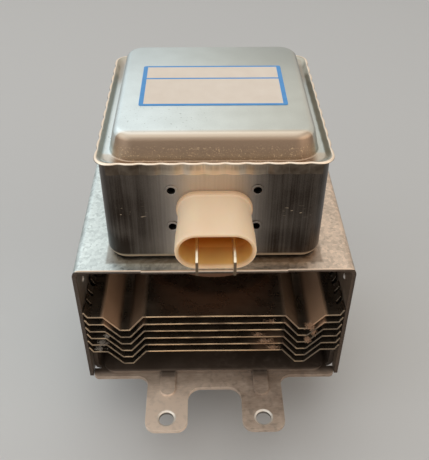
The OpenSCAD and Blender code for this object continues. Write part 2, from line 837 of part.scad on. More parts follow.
// Outline of the lid's rim, with the dents of its crimped skirt
module rim_outline() {
    difference() {
        rounded_rect(rim_w, rim_d, rim_r);
        for (i = [0 : 3]) {
            across = i % 2 == 0 ? rim_w : rim_d;
            along = i % 2 == 0 ? rim_d : rim_w;
            dents = floor((along - 2 * box_r) / dent_pitch);
            rotate(90 * i) for (k = [0 : dents])
                translate([across / 2 + dent_r - dent_depth, (k - dents / 2) * dent_pitch]) circle(dent_r);
        }
    }
}

// From the rim down to the trough
module slope_section() {
    polygon([
        [slope_r, rim_z], [slope_r, rim_z - lid_t],
        [trough_r, trough_z], [trough_r, trough_top]
    ]);
}

// All that lies under the plateau's sheet, or under a sheet that is sunk by t
module plateau_fill(t, base) {
    shoulder = [shoulder_x, lid_top - shoulder_r];
    outward = [cos(plateau_draft), sin(plateau_draft)];
    high = shoulder + (shoulder_r - t - tangent_room) * outward;
    low_x = high[0] + (high[1] - base) * tan(plateau_draft);
    translate(shoulder) circle(shoulder_r - t);
    polygon([[0, base], [low_x, base], high, shoulder, [shoulder_x, lid_top - t], [0, lid_top - t]]);
}

module plateau_section() {
    difference() {
        plateau_fill(0, trough_z);
        plateau_fill(lid_t, trough_z - cut);
    }
}

module filter_box_lid() {
    inner_w = rim_w - 2 * lid_t;
    inner_d = rim_d - 2 * lid_t;
    color([0.8, 0.81, 0.78]) translate([0, box_off, 0]) {
        translate([0, 0, rim_z - lid_t]) linear_extrude(lid_t) difference() {
            rim_outline();
            rounded_rect(inner_w, inner_d, slope_r);
        }
        translate([0, 0, rim_z - skirt_h]) linear_extrude(skirt_h - lid_t) difference() {
            intersection() {
                rim_outline();
                union() {
                    square([rim_w - 2 * box_r, rim_d], center = true);
                    square([rim_w, rim_d - 2 * box_r], center = true);
                }
            }
            square([inner_w, inner_d], center = true);
        }
        around_frame(inner_w, inner_d, slope_r) slope_section();
        translate([0, 0, trough_z]) linear_extrude(lid_t) difference() {
            rounded_rect(trough_w, trough_d, trough_r);
            rounded_rect(plateau_w - lid_t, plateau_d - lid_t, plateau_r - lid_t / 2);
        }
        around_frame(plateau_w, plateau_d, plateau_r) plateau_section();
        translate([-plateau_w / 2 + plateau_r, -plateau_d / 2 + plateau_r, lid_top - lid_t])
            cube([plateau_w - 2 * plateau_r, plateau_d - 2 * plateau_r, lid_t]);
    }
}

module label() {
    color([0.86, 0.82, 0.78]) translate([0, box_off, lid_top]) linear_extrude(label_t)
        rounded_rect(label_w, label_d, label_r);
}

// Connector and feed-through capacitor

module eyelets_at() {
    for (x = [-1, 1], z = [-1, 1]) translate([x * eyelet_pitch_x / 2, z * eyelet_pitch_z / 2]) children();
}

module blade_slots() {
    for (s = [-1, 1]) translate([s * blade_pitch / 2, 0])
        square([blade_t + 2 * slip, blade_w + 2 * slip], center = true);
}

module capacitor_flange() {
    color([0.7, 0.69, 0.66]) translate([0, 0, conn_z]) {
        along_y(flange_y, capacitor_y) difference() {
            rounded_rect(eyelet_pitch_x + 2 * flange_margin, eyelet_pitch_z + 2 * flange_margin, flange_r);
            stadium(conn_base_w + 2 * slip, conn_base_h + 2 * slip);
            eyelets_at() circle(d = eyelet_bore);
        }
        along_y(box_front - eyelet_rim_t, flange_y) eyelets_at() difference() {
            circle(d = eyelet_bore + 2 * eyelet_t);
            circle(d = eyelet_bore);
        }
        along_y(box_front - eyelet_rim_t, box_front) eyelets_at() difference() {
            circle(d = eyelet_rim_d);
            circle(d = eyelet_bore);
        }
    }
}

module capacitor_ceramic() {
    color([0.8, 0.7, 0.58]) translate([0, 0, conn_z])
        along_y(capacitor_y, capacitor_y + ceramic_block_l) difference() {
            stadium(conn_base_w - 2 * case_wall, conn_base_h - 2 * case_wall);
            blade_slots();
        }
}

module capacitor_inner_case() {
    inner_w = conn_base_w - 2 * case_wall + 2 * slip;
    inner_h = conn_base_h - 2 * case_wall + 2 * slip;
    color([0.35, 0.3, 0.26]) translate([0, 0, conn_z]) {
        along_y(capacitor_y, capacitor_y + ceramic_block_l) difference() {
            stadium(inner_w + 2 * case_wall, inner_h + 2 * case_wall);
            stadium(inner_w, inner_h);
        }
        along_y(capacitor_y + ceramic_block_l, capacitor_y + case_l) difference() {
            stadium(inner_w + 2 * case_wall, inner_h + 2 * case_wall);
            blade_slots();
        }
    }
}

module connector_shell() {
    step_y = mouth_y + mouth_l;
    color([0.93, 0.84, 0.7]) translate([0, 0, conn_z]) difference() {
        union() {
            along_y(mouth_y, step_y) stadium(conn_w, conn_h);
            along_y(step_y, capacitor_y) stadium(conn_base_w, conn_base_h);
            along_y(box_front - conn_collar_t, box_front)
                stadium(conn_base_w + 2 * conn_collar, conn_base_h + 2 * conn_collar);
        }
        along_y(mouth_y - cut, step_y) stadium(conn_w - 2 * conn_wall, conn_h - 2 * conn_wall);
        along_y(step_y - cut, capacitor_y - conn_floor)
            stadium(conn_base_w - 2 * conn_wall, conn_base_h - 2 * conn_wall);
        along_y(capacitor_y - conn_floor - cut, capacitor_y + cut) blade_slots();
    }
}

module terminal_blade(s) {
    tip = mouth_y - blade_out;
    half = blade_w / 2;
    color([0.82, 0.78, 0.7]) translate([s * blade_pitch / 2 - blade_t / 2, 0, conn_z])
        rotate([90, 0, 90]) linear_extrude(blade_t) difference() {
            polygon([
                [blade_back, -half], [blade_back, half], [tip + blade_tip_l, half], [tip, half - blade_tip_w],
                [tip, -half + blade_tip_w], [tip + blade_tip_l, -half]
            ]);
            translate([tip + blade_hole_back, 0]) circle(d = blade_hole_d);
        }
}

// Filter coils

// The right-hand choke runs from its blade through the coil to its terminal on the stem
module choke_coil(s) {
    blade_x = blade_pitch / 2 + blade_t / 2 + wire_r + slip;
    stem_x = terminal_x + terminal_t / 2 + wire_r + slip;
    low = conn_z - coil_r;
    high = conn_z + coil_r;
    steps = choke_turns * turn_steps;
    lead_in = [
        [blade_x, blade_back - 5, conn_z - 2], [blade_x, blade_back - 1, conn_z - 2],
        [blade_x + 2, choke_y0 - 2.4, conn_z - 2.6], [choke_x - 7, choke_y0 - 0.6, low + 0.4],
        [choke_x - 3, choke_y0 - 0.1, low]
    ];
    turns = [
        for (i = [0 : steps])
            let (a = 360 * i / turn_steps - 90)
            [choke_x + coil_r * cos(a), choke_y0 + (choke_y1 - choke_y0) * i / steps, conn_z + coil_r * sin(a)]
    ];
    lead_out = [
        [choke_x - 3, choke_y1 + 0.1, high], [choke_x - 7, choke_y1 - 1, high - 0.4],
        [stem_x + 4, 8, stem_top + 5.4], [stem_x + 1, 4.4, stem_top + 4.4], [stem_x, 2, stem_top + 4],
        [stem_x, -2, stem_top + 4]
    ];
    color([0.7, 0.36, 0.2]) mirror([s < 0 ? 1 : 0, 0, 0])
        wire(concat(lead_in, turns, lead_out), wire_r, [0, 0, 1]);
}

module ferrite_core(s) {
    r = core_d / 2;
    l = choke_y1 - choke_y0 + 2 * core_over;
    color([0.22, 0.22, 0.23]) translate([s * choke_x, choke_y1 + core_over, conn_z]) rotate([90, 0, 0])
        rotate_extrude() polygon([
            [0, 0], [r - core_edge, 0], [r, core_edge], [r, l - core_edge], [r - core_edge, l], [0, l]
        ]);
}

yoke_frame();
mounting_plate();
upper_magnet();
lower_magnet();
for (i = [1 : fin_count]) cooling_fin(i);
anode_cylinder();
anode_vanes();
strap_rings();
upper_pole_piece();
lower_pole_piece();
input_seal_cup();
output_seal_cup();
cathode_stem_ceramic();
filament_coil();
upper_end_hat();
lower_end_hat();
centre_lead();
side_lead();
output_ceramic();
antenna_lead();
exhaust_tube();
antenna_cap();
rf_gasket();
filter_box();
filter_box_lid();
label();
capacitor_flange();
capacitor_ceramic();
capacitor_inner_case();
connector_shell();
for (side = SIDES) {
    filament_terminal(side[1]);
    terminal_blade(side[1]);
    choke_coil(side[1]);
    ferrite_core(side[1]);
}
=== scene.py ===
# %% [markdown]
# A magnetron from a microwave oven
#
# A magnetron is the tube that makes an oven's microwaves. A sheet-steel yoke holds the tube between two
# ring magnets, thin fins carry its heat away, and a box on top hides the filter coils. This lesson dresses
# the CAD model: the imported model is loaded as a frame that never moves, and every new piece is made round
# it in metres, in the same coordinates. The antenna points down, and the plug connector faces -Y.

# %% Load the CAD model
import json
import math
import random

import bmesh
import bpy
from mathutils import Matrix, Vector, noise


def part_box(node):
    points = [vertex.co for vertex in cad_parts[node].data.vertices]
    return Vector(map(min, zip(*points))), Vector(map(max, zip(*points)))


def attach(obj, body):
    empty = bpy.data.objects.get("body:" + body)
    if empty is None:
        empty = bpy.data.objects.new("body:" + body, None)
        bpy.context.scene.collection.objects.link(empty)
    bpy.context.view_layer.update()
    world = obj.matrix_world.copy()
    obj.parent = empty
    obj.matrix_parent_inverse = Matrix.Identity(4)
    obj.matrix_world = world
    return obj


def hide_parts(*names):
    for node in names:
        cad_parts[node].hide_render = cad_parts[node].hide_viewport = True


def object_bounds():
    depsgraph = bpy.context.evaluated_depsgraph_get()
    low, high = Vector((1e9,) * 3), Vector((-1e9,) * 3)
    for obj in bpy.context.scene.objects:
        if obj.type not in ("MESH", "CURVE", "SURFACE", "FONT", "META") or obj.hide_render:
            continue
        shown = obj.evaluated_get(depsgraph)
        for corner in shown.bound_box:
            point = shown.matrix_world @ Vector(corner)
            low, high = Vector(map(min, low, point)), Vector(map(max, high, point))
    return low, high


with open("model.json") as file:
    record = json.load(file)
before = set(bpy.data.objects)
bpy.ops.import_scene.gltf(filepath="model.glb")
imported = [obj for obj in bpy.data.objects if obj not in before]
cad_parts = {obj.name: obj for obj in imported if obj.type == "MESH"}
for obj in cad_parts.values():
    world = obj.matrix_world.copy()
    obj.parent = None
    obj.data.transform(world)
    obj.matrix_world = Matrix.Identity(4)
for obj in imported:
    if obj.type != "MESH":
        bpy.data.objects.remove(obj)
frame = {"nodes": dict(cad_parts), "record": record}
cad_low, cad_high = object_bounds()
MM = 0.001
print("loaded", len(frame["nodes"]), "CAD nodes, size", [round(v / MM, 1) for v in cad_high - cad_low], "mm")

# %% [markdown]
# Writing shaders as sums
#
# A finish is a recipe of patterns: grain plus blotches minus wear. To keep it readable, one small class
# wraps an output socket, and ordinary arithmetic on it adds Math nodes. Any other node comes from one
# method that takes the node's type, its settings, and the values or links of its inputs. Patterns read the
# object's own coordinates, turned to millimetres, so they stay on the part from every side.

# %% The shader class
class Flow:
    """An output socket of a shader tree that can be added, multiplied and so on."""

    def __init__(self, tree, socket=None):
        self.tree = tree
        self.socket = socket

    def node(self, kind, settings=None, inputs=None, output=0):
        made = self.tree.nodes.new("ShaderNode" + kind)
        for name, value in (settings or {}).items():
            setattr(made, name, value)
        for key, value in (inputs or {}).items():
            if isinstance(value, Flow):
                self.tree.links.new(value.socket, made.inputs[key])
            else:
                made.inputs[key].default_value = value
        return Flow(self.tree, made.outputs[output] if output is not None else None)

    def math(self, operation, first, second=0.0):
        return self.node("Math", {"operation": operation}, {0: first, 1: second})

    def __add__(self, other):
        return self.math("ADD", self, other)

    def __sub__(self, other):
        return self.math("SUBTRACT", self, other)

    def __mul__(self, other):
        return self.math("MULTIPLY", self, other)

    def __pow__(self, other):
        return self.math("POWER", self, other)

    def __radd__(self, other):
        return self.math("ADD", other, self)

    def __rsub__(self, other):
        return self.math("SUBTRACT", other, self)

    def __rmul__(self, other):
        return self.math("MULTIPLY", other, self)

    def __abs__(self):
        return self.math("ABSOLUTE", self)

    def ramp(self, low, high):
        """0 below low and 1 above high, with a smooth step between them."""
        ends = {"From Min": low, "From Max": high, "Value": self}
        return self.node("MapRange", {"interpolation_type": "SMOOTHSTEP"}, ends)

    def noise(self, size, detail=2.0, stretch=(1, 1, 1)):
        """Soft blotches of about a size in millimetres, stretched along the axes."""
        place = self.node("VectorMath", {"operation": "DIVIDE"}, {0: self, 1: stretch})
        return place.node("TexNoise", None, {"Vector": place, "Scale": 1 / size, "Detail": detail})

    def cells(self, size):
        """One random grey for each crystal of about a size in millimetres."""
        return self.node("TexVoronoi", None, {"Vector": self, "Scale": 1 / size}, "Color")

    def blend(self, first, second):
        """A colour that goes from first to second as this value goes from 0 to 1."""
        return self.node("Mix", {"data_type": "RGBA"}, {0: self, 6: first, 7: second}, 2)

    def bump(self, height, strength):
        """A normal that is tilted by this height field, with its depth in millimetres."""
        return self.node("Bump", None, {"Height": self, "Distance": height * MM, "Strength": strength})


print("shader class ready")

# %% Colours and materials
def paint(red, green, blue):
    """The shader's colour for an 8-bit colour as a picture shows it."""
    parts = [value / 255 for value in (red, green, blue)]
    return (*[p / 12.92 if p <= 0.04045 else ((p + 0.055) / 1.055) ** 2.4 for p in parts], 1)


def new_finish(name, **fixed):
    """A new material with constants set, its shader, and the place on the part in millimetres."""
    material = bpy.data.materials.new(name)
    material.use_nodes = True
    tree = material.node_tree
    shader = tree.nodes["Principled BSDF"]
    for key, value in fixed.items():
        shader.inputs[key.replace("_", " ")].default_value = value
    start = Flow(tree)
    metres = start.node("TexCoord", output="Object")
    place = start.node("VectorMath", {"operation": "SCALE"}, {0: metres, "Scale": 1 / MM})
    return material, shader, place


def feed(shader, **flows):
    """Link flows to the shader's sockets by name."""
    for key, flow in flows.items():
        flow.tree.links.new(flow.socket, shader.inputs[key.replace("_", " ")])


def axes_of(place):
    """The three coordinates of a place as separate flows."""
    return [place.node("SeparateXYZ", None, {0: place}, axis) for axis in "XYZ"]


print("a picture's mid grey is", round(paint(128, 128, 128)[0], 3), "to a shader")

# %% [markdown]
# The camera
#
# The viewer stands in front of the connector and looks down on the lid at about forty degrees. The place
# and the lens were found by matching corners of the yoke, the lugs and the lid, so the numbers are kept as
# a measured pose: an eye point, three turns and a focal length in pixels of the 460 pixel long side.

# %% Camera
EYE = Vector((-2.94, -196.27, 201.55)) * MM
PITCH, YAW, ROLL = (math.radians(turn) for turn in (39.54, 1.06, -0.19))
FOCAL_PIXELS = 646.1
LONG_SIDE_PIXELS = 460
SENSOR_WIDTH = 36
NEAREST_SEEN = 0.01

ahead = Vector((math.sin(YAW) * math.cos(PITCH), math.cos(YAW) * math.cos(PITCH), -math.sin(PITCH)))
level = Vector((math.cos(YAW), -math.sin(YAW), 0))
below = ahead.cross(level)
across = math.cos(ROLL) * level + math.sin(ROLL) * below
downwards = math.cos(ROLL) * below - math.sin(ROLL) * level

bpy.ops.object.camera_add()
camera = bpy.context.object
camera.matrix_world = Matrix.Translation(EYE) @ Matrix((across, -downwards, -ahead)).transposed().to_4x4()
camera.data.sensor_width = SENSOR_WIDTH
camera.data.lens = FOCAL_PIXELS / LONG_SIDE_PIXELS * SENSOR_WIDTH
camera.data.clip_start = NEAREST_SEEN
bpy.context.scene.camera = camera
print("camera lens", round(camera.data.lens, 2), "mm")

# %% [markdown]
# Floor and studio light
#
# Metal shows what stands round it, so the studio is made of large soft areas. A wide softbox hangs over the
# object, two lower ones look in from the front left and the front right, and the world is an even pale room
# that is a little cooler on the left and warmer on the right. The room looks brighter to the camera and to
# mirror rays than to matt surfaces, so that plated steel shows a pale studio while the matt parts keep
# their shadows.

# %% Floor
FLOOR_SIZE = 6.0
FLOOR_COLOUR = (0.64, 0.625, 0.61, 1)

bpy.ops.object.select_all(action="DESELECT")
bpy.ops.mesh.primitive_plane_add(size=FLOOR_SIZE, location=(0, 0, cad_low.z))
floor = bpy.context.object
floor.name = "studio_floor"
floor_paint, _, _ = new_finish(
    "studio_floor_paint", Base_Color=FLOOR_COLOUR, Roughness=0.9, Specular_IOR_Level=0.1
)
floor.data.materials.append(floor_paint)
print("floor at", round(cad_low.z / MM, 1), "mm")

# %% Room light
ROOM_MATT = 0.42
ROOM_SEEN = 0.92
TINT_REACH = 0.45
COOL = (0.93, 0.985, 1.0, 1)
WARM = (1.0, 0.93, 0.85, 1)

world = bpy.data.worlds.new("studio_room")
bpy.context.scene.world = world
world.use_nodes = True
world.node_tree.nodes.clear()
sky = Flow(world.node_tree)
sideways = sky.node("SeparateXYZ", None, {0: sky.node("TexCoord")}, "X")
rays = [sky.node("LightPath", output=f"Is {kind} Ray") for kind in ("Camera", "Glossy", "Transmission")]
seen = sky.math("MINIMUM", rays[0] + rays[1] + rays[2], 1.0)
room = sky.node(
    "Background", None,
    {
        "Color": sideways.ramp(-TINT_REACH, TINT_REACH).blend(COOL, WARM),
        "Strength": ROOM_MATT + (ROOM_SEEN - ROOM_MATT) * seen,
    },
)
sky.node("OutputWorld", None, {"Surface": room}, None)
print("room seen at", ROOM_SEEN, "and felt at", ROOM_MATT)

# %% Softboxes
def softbox(name, place, target, size, watts, colour):
    """A square area lamp at a place, turned to a target."""
    bpy.ops.object.light_add(type="AREA", location=place)
    lamp = bpy.context.object
    lamp.name = name
    lamp.rotation_euler = (Vector(target) - Vector(place)).to_track_quat("-Z", "Y").to_euler()
    lamp.data.size = size
    lamp.data.energy = watts
    lamp.data.color = colour


softbox(
    "overhead_softbox", place=(-0.25, 0.10, 0.95), target=(0, 0, 0.05), size=1.6, watts=5.4,
    colour=(0.95, 0.985, 1.0),
)
softbox(
    "left_softbox", place=(-0.70, -0.52, 0.30), target=(0, 0, 0.03), size=0.9, watts=2.0,
    colour=(0.94, 0.97, 1.0),
)
softbox(
    "right_softbox", place=(0.70, -0.54, 0.28), target=(0, 0, 0.03), size=0.9, watts=2.3,
    colour=(1.0, 0.88, 0.76),
)

bpy.context.scene.view_settings.view_transform = "Standard"

# %% [markdown]
# Tools for modelling
#
# Blender's operators act on whatever is selected. These helpers keep that in order: one leaves edit mode
# and selects a single piece, one opens a piece for editing, and one picks points, edges or faces by a test
# on their place. The others apply a modifier, fix a piece to the tube's body and hide the CAD nodes it
# replaces, start an empty piece, and shade a piece smooth.

# %% Selection helpers
def single_out(piece):
    """Leave edit mode and make this piece the only selected one."""
    if bpy.context.mode != "OBJECT":
        bpy.ops.object.mode_set(mode="OBJECT")
    bpy.ops.object.select_all(action="DESELECT")
    piece.select_set(True)
    bpy.context.view_layer.objects.active = piece


def open_mesh(piece, unit="VERT"):
    """Open a piece in edit mode with nothing selected."""
    single_out(piece)
    bpy.ops.object.mode_set(mode="EDIT")
    bpy.ops.mesh.select_mode(type=unit)
    bpy.ops.mesh.select_all(action="DESELECT")


def pick(piece, kind, test):
    """Select the verts, edges or faces of the open mesh that pass a test, and say how many."""
    bpy.ops.mesh.select_all(action="DESELECT")
    grid = bmesh.from_edit_mesh(piece.data)
    chosen = [part for part in getattr(grid, kind) if test(part)]
    for part in chosen:
        part.select_set(True)
    bmesh.update_edit_mesh(piece.data)
    return len(chosen)


def close_mesh():
    """Go back to object mode."""
    bpy.ops.object.mode_set(mode="OBJECT")


print("selection helpers ready, mode", bpy.context.mode)

# %% Finishing helpers
def apply_modifier(piece, kind, **settings):
    """Add one modifier with its settings and apply it."""
    single_out(piece)
    modifier = piece.modifiers.new(kind.lower(), kind)
    for name, value in settings.items():
        setattr(modifier, name, value)
    bpy.ops.object.modifier_apply(modifier=modifier.name)


def ride_as(piece, slot, *nodes):
    """Fix a finished piece to the tube's one body and hide the CAD nodes it stands for; the slot is not
    used.
    """
    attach(piece, "root")
    if nodes:
        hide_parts(*nodes)


def empty_piece(name):
    """A new mesh object at the origin with no faces yet."""
    piece = bpy.data.objects.new(name, bpy.data.meshes.new(name))
    bpy.context.scene.collection.objects.link(piece)
    return piece


def smooth(piece, degrees):
    """Shade a piece smooth, with a crease where two faces meet at more than an angle."""
    single_out(piece)
    bpy.ops.object.shade_smooth_by_angle(angle=math.radians(degrees))


print("finishing helpers ready")

# %% [markdown]
# Pressed and punched sheet: rounding the CAD edges
#
# Real sheet metal has no knife-sharp corners: punching rolls one edge over and handling rubs the rest, and
# that thin rounded line is what catches the light. The CAD solids are exact but sharp. A copy of each
# visible sheet is joined up from its triangles, flat triangles are dissolved into whole faces, and a small
# bevel rounds every corner. Weighted normals then keep the flats flat.

# %% Rounded copies of CAD nodes
FLAT_ANGLE = math.radians(0.4)
CORNER_ANGLE = math.radians(32)
WELD = 0.002 * MM


def joined_copy(node):
    """A copy of a CAD node with its triangles merged into whole faces."""
    mesh = frame["nodes"][node].data.copy()
    mesh.materials.clear()
    piece = bpy.data.objects.new(node + "_dressed", mesh)
    bpy.context.scene.collection.objects.link(piece)
    single_out(piece)
    bpy.ops.mesh.customdata_custom_splitnormals_clear()
    open_mesh(piece)
    bpy.ops.mesh.select_all(action="SELECT")
    bpy.ops.mesh.remove_doubles(threshold=WELD)
    bpy.ops.mesh.dissolve_limited(angle_limit=FLAT_ANGLE)
    close_mesh()
    return piece


def round_edges(piece, radius, steps=2):
    """Bevel every corner of a piece and keep its flats flat."""
    single_out(piece)
    bpy.ops.object.shade_smooth()
    apply_modifier(
        piece, "BEVEL", width=radius, segments=steps, limit_method="ANGLE", angle_limit=CORNER_ANGLE,
        miter_outer="MITER_ARC",
    )
    apply_modifier(piece, "WEIGHTED_NORMAL", weight=80, keep_sharp=True)


def slot_of(node):
    """The material slot that the record gives a CAD node."""
    return next(part["material_slot"] for part in frame["record"]["subparts"] if part["node"] == node)


print("corners over", round(math.degrees(CORNER_ANGLE)), "degrees will be rounded")

# %% Rounded sheets, tabs and magnets
EDGE_RADIUS = {
    "yoke_frame": 0.22,
    "mounting_plate": 0.22,
    "filter_box": 0.12,
    "capacitor_flange": 0.1,
    "terminal_blade_left": 0.12,
    "terminal_blade_right": 0.12,
    "upper_magnet": 0.3,
    "lower_magnet": 0.3,
    "antenna_cap": 0.2,
    "label": 0.04,
}
dressed = {}
for node, radius in EDGE_RADIUS.items():
    dressed[node] = joined_copy(node)
    round_edges(dressed[node], radius * MM)
    ride_as(dressed[node], slot_of(node), node)
    print(node, "rounded by", radius, "mm:", len(dressed[node].data.polygons), "faces")

# %% [markdown]
# Sheared ends of the yoke
#
# The blank of the yoke is sheared to length before it is bent, and the shear takes half a millimetre more
# from the top plate than from the walls. All points on the ends of the top plate move back by that much.

# %% Yoke ends
SHEAR_BACK = 0.5 * MM
TOP_UNDERSIDE = 53.4 * MM
END_NEAR = 39.6 * MM

for point in dressed["yoke_frame"].data.vertices:
    if point.co.z > TOP_UNDERSIDE and abs(point.co.y) > END_NEAR:
        point.co.y -= math.copysign(SHEAR_BACK, point.co.y)
print("yoke ends moved back by", round(SHEAR_BACK / MM, 2), "mm")

# %% [markdown]
# Cooling fins
#
# Six aluminium sheets are pressed over the tube. Each has a V-shaped dip on both sides and a comb of sprung
# tabs that scrape the yoke's walls when the stack is pushed in. A perfect stack would look drawn, not used:
# here each fin's copy is cut into strips by bisecting, so that it can sag and wave by a tenth of a
# millimetre, and each tab is pushed back by its own amount.

# %% Fin strips
STRIP_CUTS_X = [-21, -15, -11, -6, 0, 6, 11, 15, 21]
STRIP_CUTS_Y = [-36, -28, 28, 36]


def cut_across(axis, at):
    """Bisect the whole open mesh by a plane square to an axis."""
    bpy.ops.mesh.select_all(action="SELECT")
    place = [0, 0, 0]
    normal = [0, 0, 0]
    place[axis] = at * MM
    normal[axis] = 1
    bpy.ops.mesh.bisect(plane_co=place, plane_no=normal)


print("each fin will be cut", len(STRIP_CUTS_X) + len(STRIP_CUTS_Y), "times")

# %% Wavy fins with uneven tabs
FIN_NODES = [f"cooling_fin_{i}" for i in range(1, 7)]
FIN_EDGE = 0.1 * MM
WAVE = 0.16 * MM
WAVE_STARTS = 24
WAVE_GROWS_OVER = 12
WAVES_ALONG_X = 55
WAVES_ALONG_Y = 40
TAB_ROOT = 43.0 * MM
TAB_REACH = 3.1 * MM
TAB_PITCH = 5.0 * MM
TAB_PUSH = 0.55 * MM
TAB_LIFT = 0.6
TABS_A_SIDE = 32
MIDDLE_TAB = 20

random.seed(11)
for node in FIN_NODES:
    fin = joined_copy(node)
    open_mesh(fin)
    for at in STRIP_CUTS_X:
        cut_across(0, at)
    for at in STRIP_CUTS_Y:
        cut_across(1, at)
    close_mesh()
    round_edges(fin, FIN_EDGE)
    seed = random.uniform(0, 50)
    pushes = [random.uniform(0, 1) ** 2 for _ in range(2 * TABS_A_SIDE)]
    for point in fin.data.vertices:
        x, y, _ = point.co
        away = max(0.0, math.hypot(x, y) / MM - WAVE_STARTS) / WAVE_GROWS_OVER
        sway = noise.noise(Vector((x * WAVES_ALONG_X, y * WAVES_ALONG_Y, seed)))
        point.co.z += WAVE * sway * min(1.0, away)
        if abs(x) > TAB_ROOT:
            tab = int(y / TAB_PITCH + MIDDLE_TAB) + (TABS_A_SIDE if x > 0 else 0)
            reach = (abs(x) - TAB_ROOT) / TAB_REACH
            push = TAB_PUSH * pushes[tab] * reach
            point.co.x -= math.copysign(push, x)
            point.co.z += TAB_LIFT * push
    ride_as(fin, slot_of(node), node)
    dressed[node] = fin
print("fins:", sum(len(dressed[node].data.polygons) for node in FIN_NODES), "faces in six sheets")

# %% [markdown]
# Lofting from rings
#
# The drawn lid and the moulded connector are both tunnels of rounded rectangles whose size and corner
# change from station to station. By hand this is a plane whose four corners are bevelled, repeated at each
# station and joined with Bridge Edge Loops. Every ring gets the same number of points, so the bridge is
# made of clean quads, and each point remembers its ring's number in an integer attribute. Two rings never
# lie in one plane, because the bridge could then pair their points the wrong way round and close the
# opening.

# %% One ring
CORNER_STEPS = 8
SIDE_LONGER_THAN = 3.0 * MM


def add_ring(piece, number, centre, size, corner, side_steps, turn):
    """Add a rounded rectangle of edges to the open mesh and number its points."""
    bpy.ops.mesh.select_all(action="DESELECT")
    bpy.ops.mesh.primitive_plane_add(size=1, location=centre, rotation=turn)
    bpy.ops.transform.resize(value=size, center_override=centre)
    bpy.ops.mesh.bevel(offset=corner, segments=CORNER_STEPS, affect="VERTICES")
    bpy.ops.mesh.delete(type="ONLY_FACE")
    layer = bmesh.from_edit_mesh(piece.data).verts.layers.int["ring"]
    pick(piece, "edges", lambda e: e.verts[0][layer] == 0 and e.calc_length() > SIDE_LONGER_THAN)
    bpy.ops.mesh.subdivide(number_cuts=side_steps - 1)
    grid = bmesh.from_edit_mesh(piece.data)
    layer = grid.verts.layers.int["ring"]
    for point in grid.verts:
        if point[layer] == 0:
            point[layer] = number
    bmesh.update_edit_mesh(piece.data)


print("a ring has", CORNER_STEPS, "steps to a corner")

# %% Ring loft
def loft(name, rings, side_steps, turn):
    """A new piece from rings of (centre, size, corner radius), bridged one after the other."""
    piece = empty_piece(name)
    piece.data.attributes.new("ring", "INT", "POINT")
    open_mesh(piece, "EDGE")
    for number, (centre, size, corner) in enumerate(rings, start=1):
        add_ring(piece, number, centre, size, corner, side_steps, turn)
    for number in range(1, len(rings)):
        layer = bmesh.from_edit_mesh(piece.data).verts.layers.int["ring"]
        pick(
            piece, "edges",
            lambda e: e.verts[0][layer] == e.verts[1][layer] and e.verts[0][layer] in (number, number + 1),
        )
        bpy.ops.mesh.bridge_edge_loops()
    return piece


def close_ring(piece, number):
    """Fill one end ring of the open loft with a face."""
    layer = bmesh.from_edit_mesh(piece.data).verts.layers.int["ring"]
    pick(piece, "edges", lambda e: e.verts[0][layer] == number and e.verts[1][layer] == number)
    bpy.ops.mesh.edge_face_add()


print("ring loft ready")

# %% [markdown]
# The drawn and crimped lid
#
# One sheet is drawn up into a flat plateau with soft shoulders, runs down a leaning wall into a shallow
# trough, climbs a short slope, folds over the edge of the box and hangs outside as a skirt. Small dents all
# along the skirt spring it against the box, and they give the fold its wavy outline. The skirt is left out
# at the corners. The loft follows the sheet's outer side from the skirt to the plateau: a row is a distance
# from the rim's edge and a height, bends are arcs of such rows, and the corner radius follows from the
# distance.

# %% Lid section
lid_low, lid_high = (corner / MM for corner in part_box("filter_box_lid"))
LID_W = lid_high.x - lid_low.x
LID_D = lid_high.y - lid_low.y
LID_MID_Y = (lid_high.y + lid_low.y) / 2
PLATEAU_TOP = lid_high.z
SKIRT_Z = lid_low.z
SKIRT_H = 4
TROUGH_DEPTH = 1.75
RIM_Z = SKIRT_Z + SKIRT_H
TROUGH_Z = RIM_Z - TROUGH_DEPTH
CREST = 0.5
SHOULDER = 2.5
CROWN = 0.05
FOOT = 0.5
DRAFT = math.radians(12)
FLAT_INSET = 7.84
FOOT_INSET = 3.65
CROWN_W = 2
SKIRT_UP = (0, 1, 2.2)
SLOPE_ROWS = [(0.82, 0.1), (1.1, 0.33), (1.6, 0.88), (2.05, 1.35), (2.35, 1.57), (2.7, 1.65), (3.1, 1.7)]
WALL_PARTS = (0.33, 0.67, 1)


def bend(inset, z, radius, start, end, steps):
    """Rows along an arc about a centre, without its first point."""
    turns = [start + (end - start) * k / steps for k in range(1, steps + 1)]
    return [(inset + radius * math.cos(turn), z + radius * math.sin(turn)) for turn in turns]


lid_rows = [(0, SKIRT_Z + up) for up in SKIRT_UP] + [(0, RIM_Z - CREST)]
lid_rows += bend(CREST, RIM_Z - CREST, CREST, math.pi, math.pi / 2, steps=4)
lid_rows += [(inset, RIM_Z - drop) for inset, drop in SLOPE_ROWS] + [(FOOT_INSET, TROUGH_Z)]
lid_rows += bend(FOOT_INSET, TROUGH_Z + FOOT, FOOT, -math.pi / 2, -DRAFT, steps=4)
wall_foot = lid_rows[-1]
shoulder_z = PLATEAU_TOP - CROWN - SHOULDER
wall_head = bend(FLAT_INSET, shoulder_z, SHOULDER, 0, math.pi - DRAFT, steps=1)[0]
for part in WALL_PARTS:
    lid_rows.append(tuple(low + (high - low) * part for low, high in zip(wall_foot, wall_head)))
lid_rows += bend(FLAT_INSET, shoulder_z, SHOULDER, math.pi - DRAFT, math.pi / 2, steps=9)
lid_rows.append((FLAT_INSET + CROWN_W, PLATEAU_TOP))
print("lid section:", len(lid_rows), "rows up to", round(PLATEAU_TOP, 2), "mm")

# %% Lid loft
LYING = (0, 0, 0)
SIDE_STEPS = 96
RIM_CORNER = 4.8
CORNER_AT = [(0, RIM_CORNER), (CREST, RIM_CORNER), (2.4, 6.0), (FOOT_INSET, 8.25), (11.65, 0.25)]


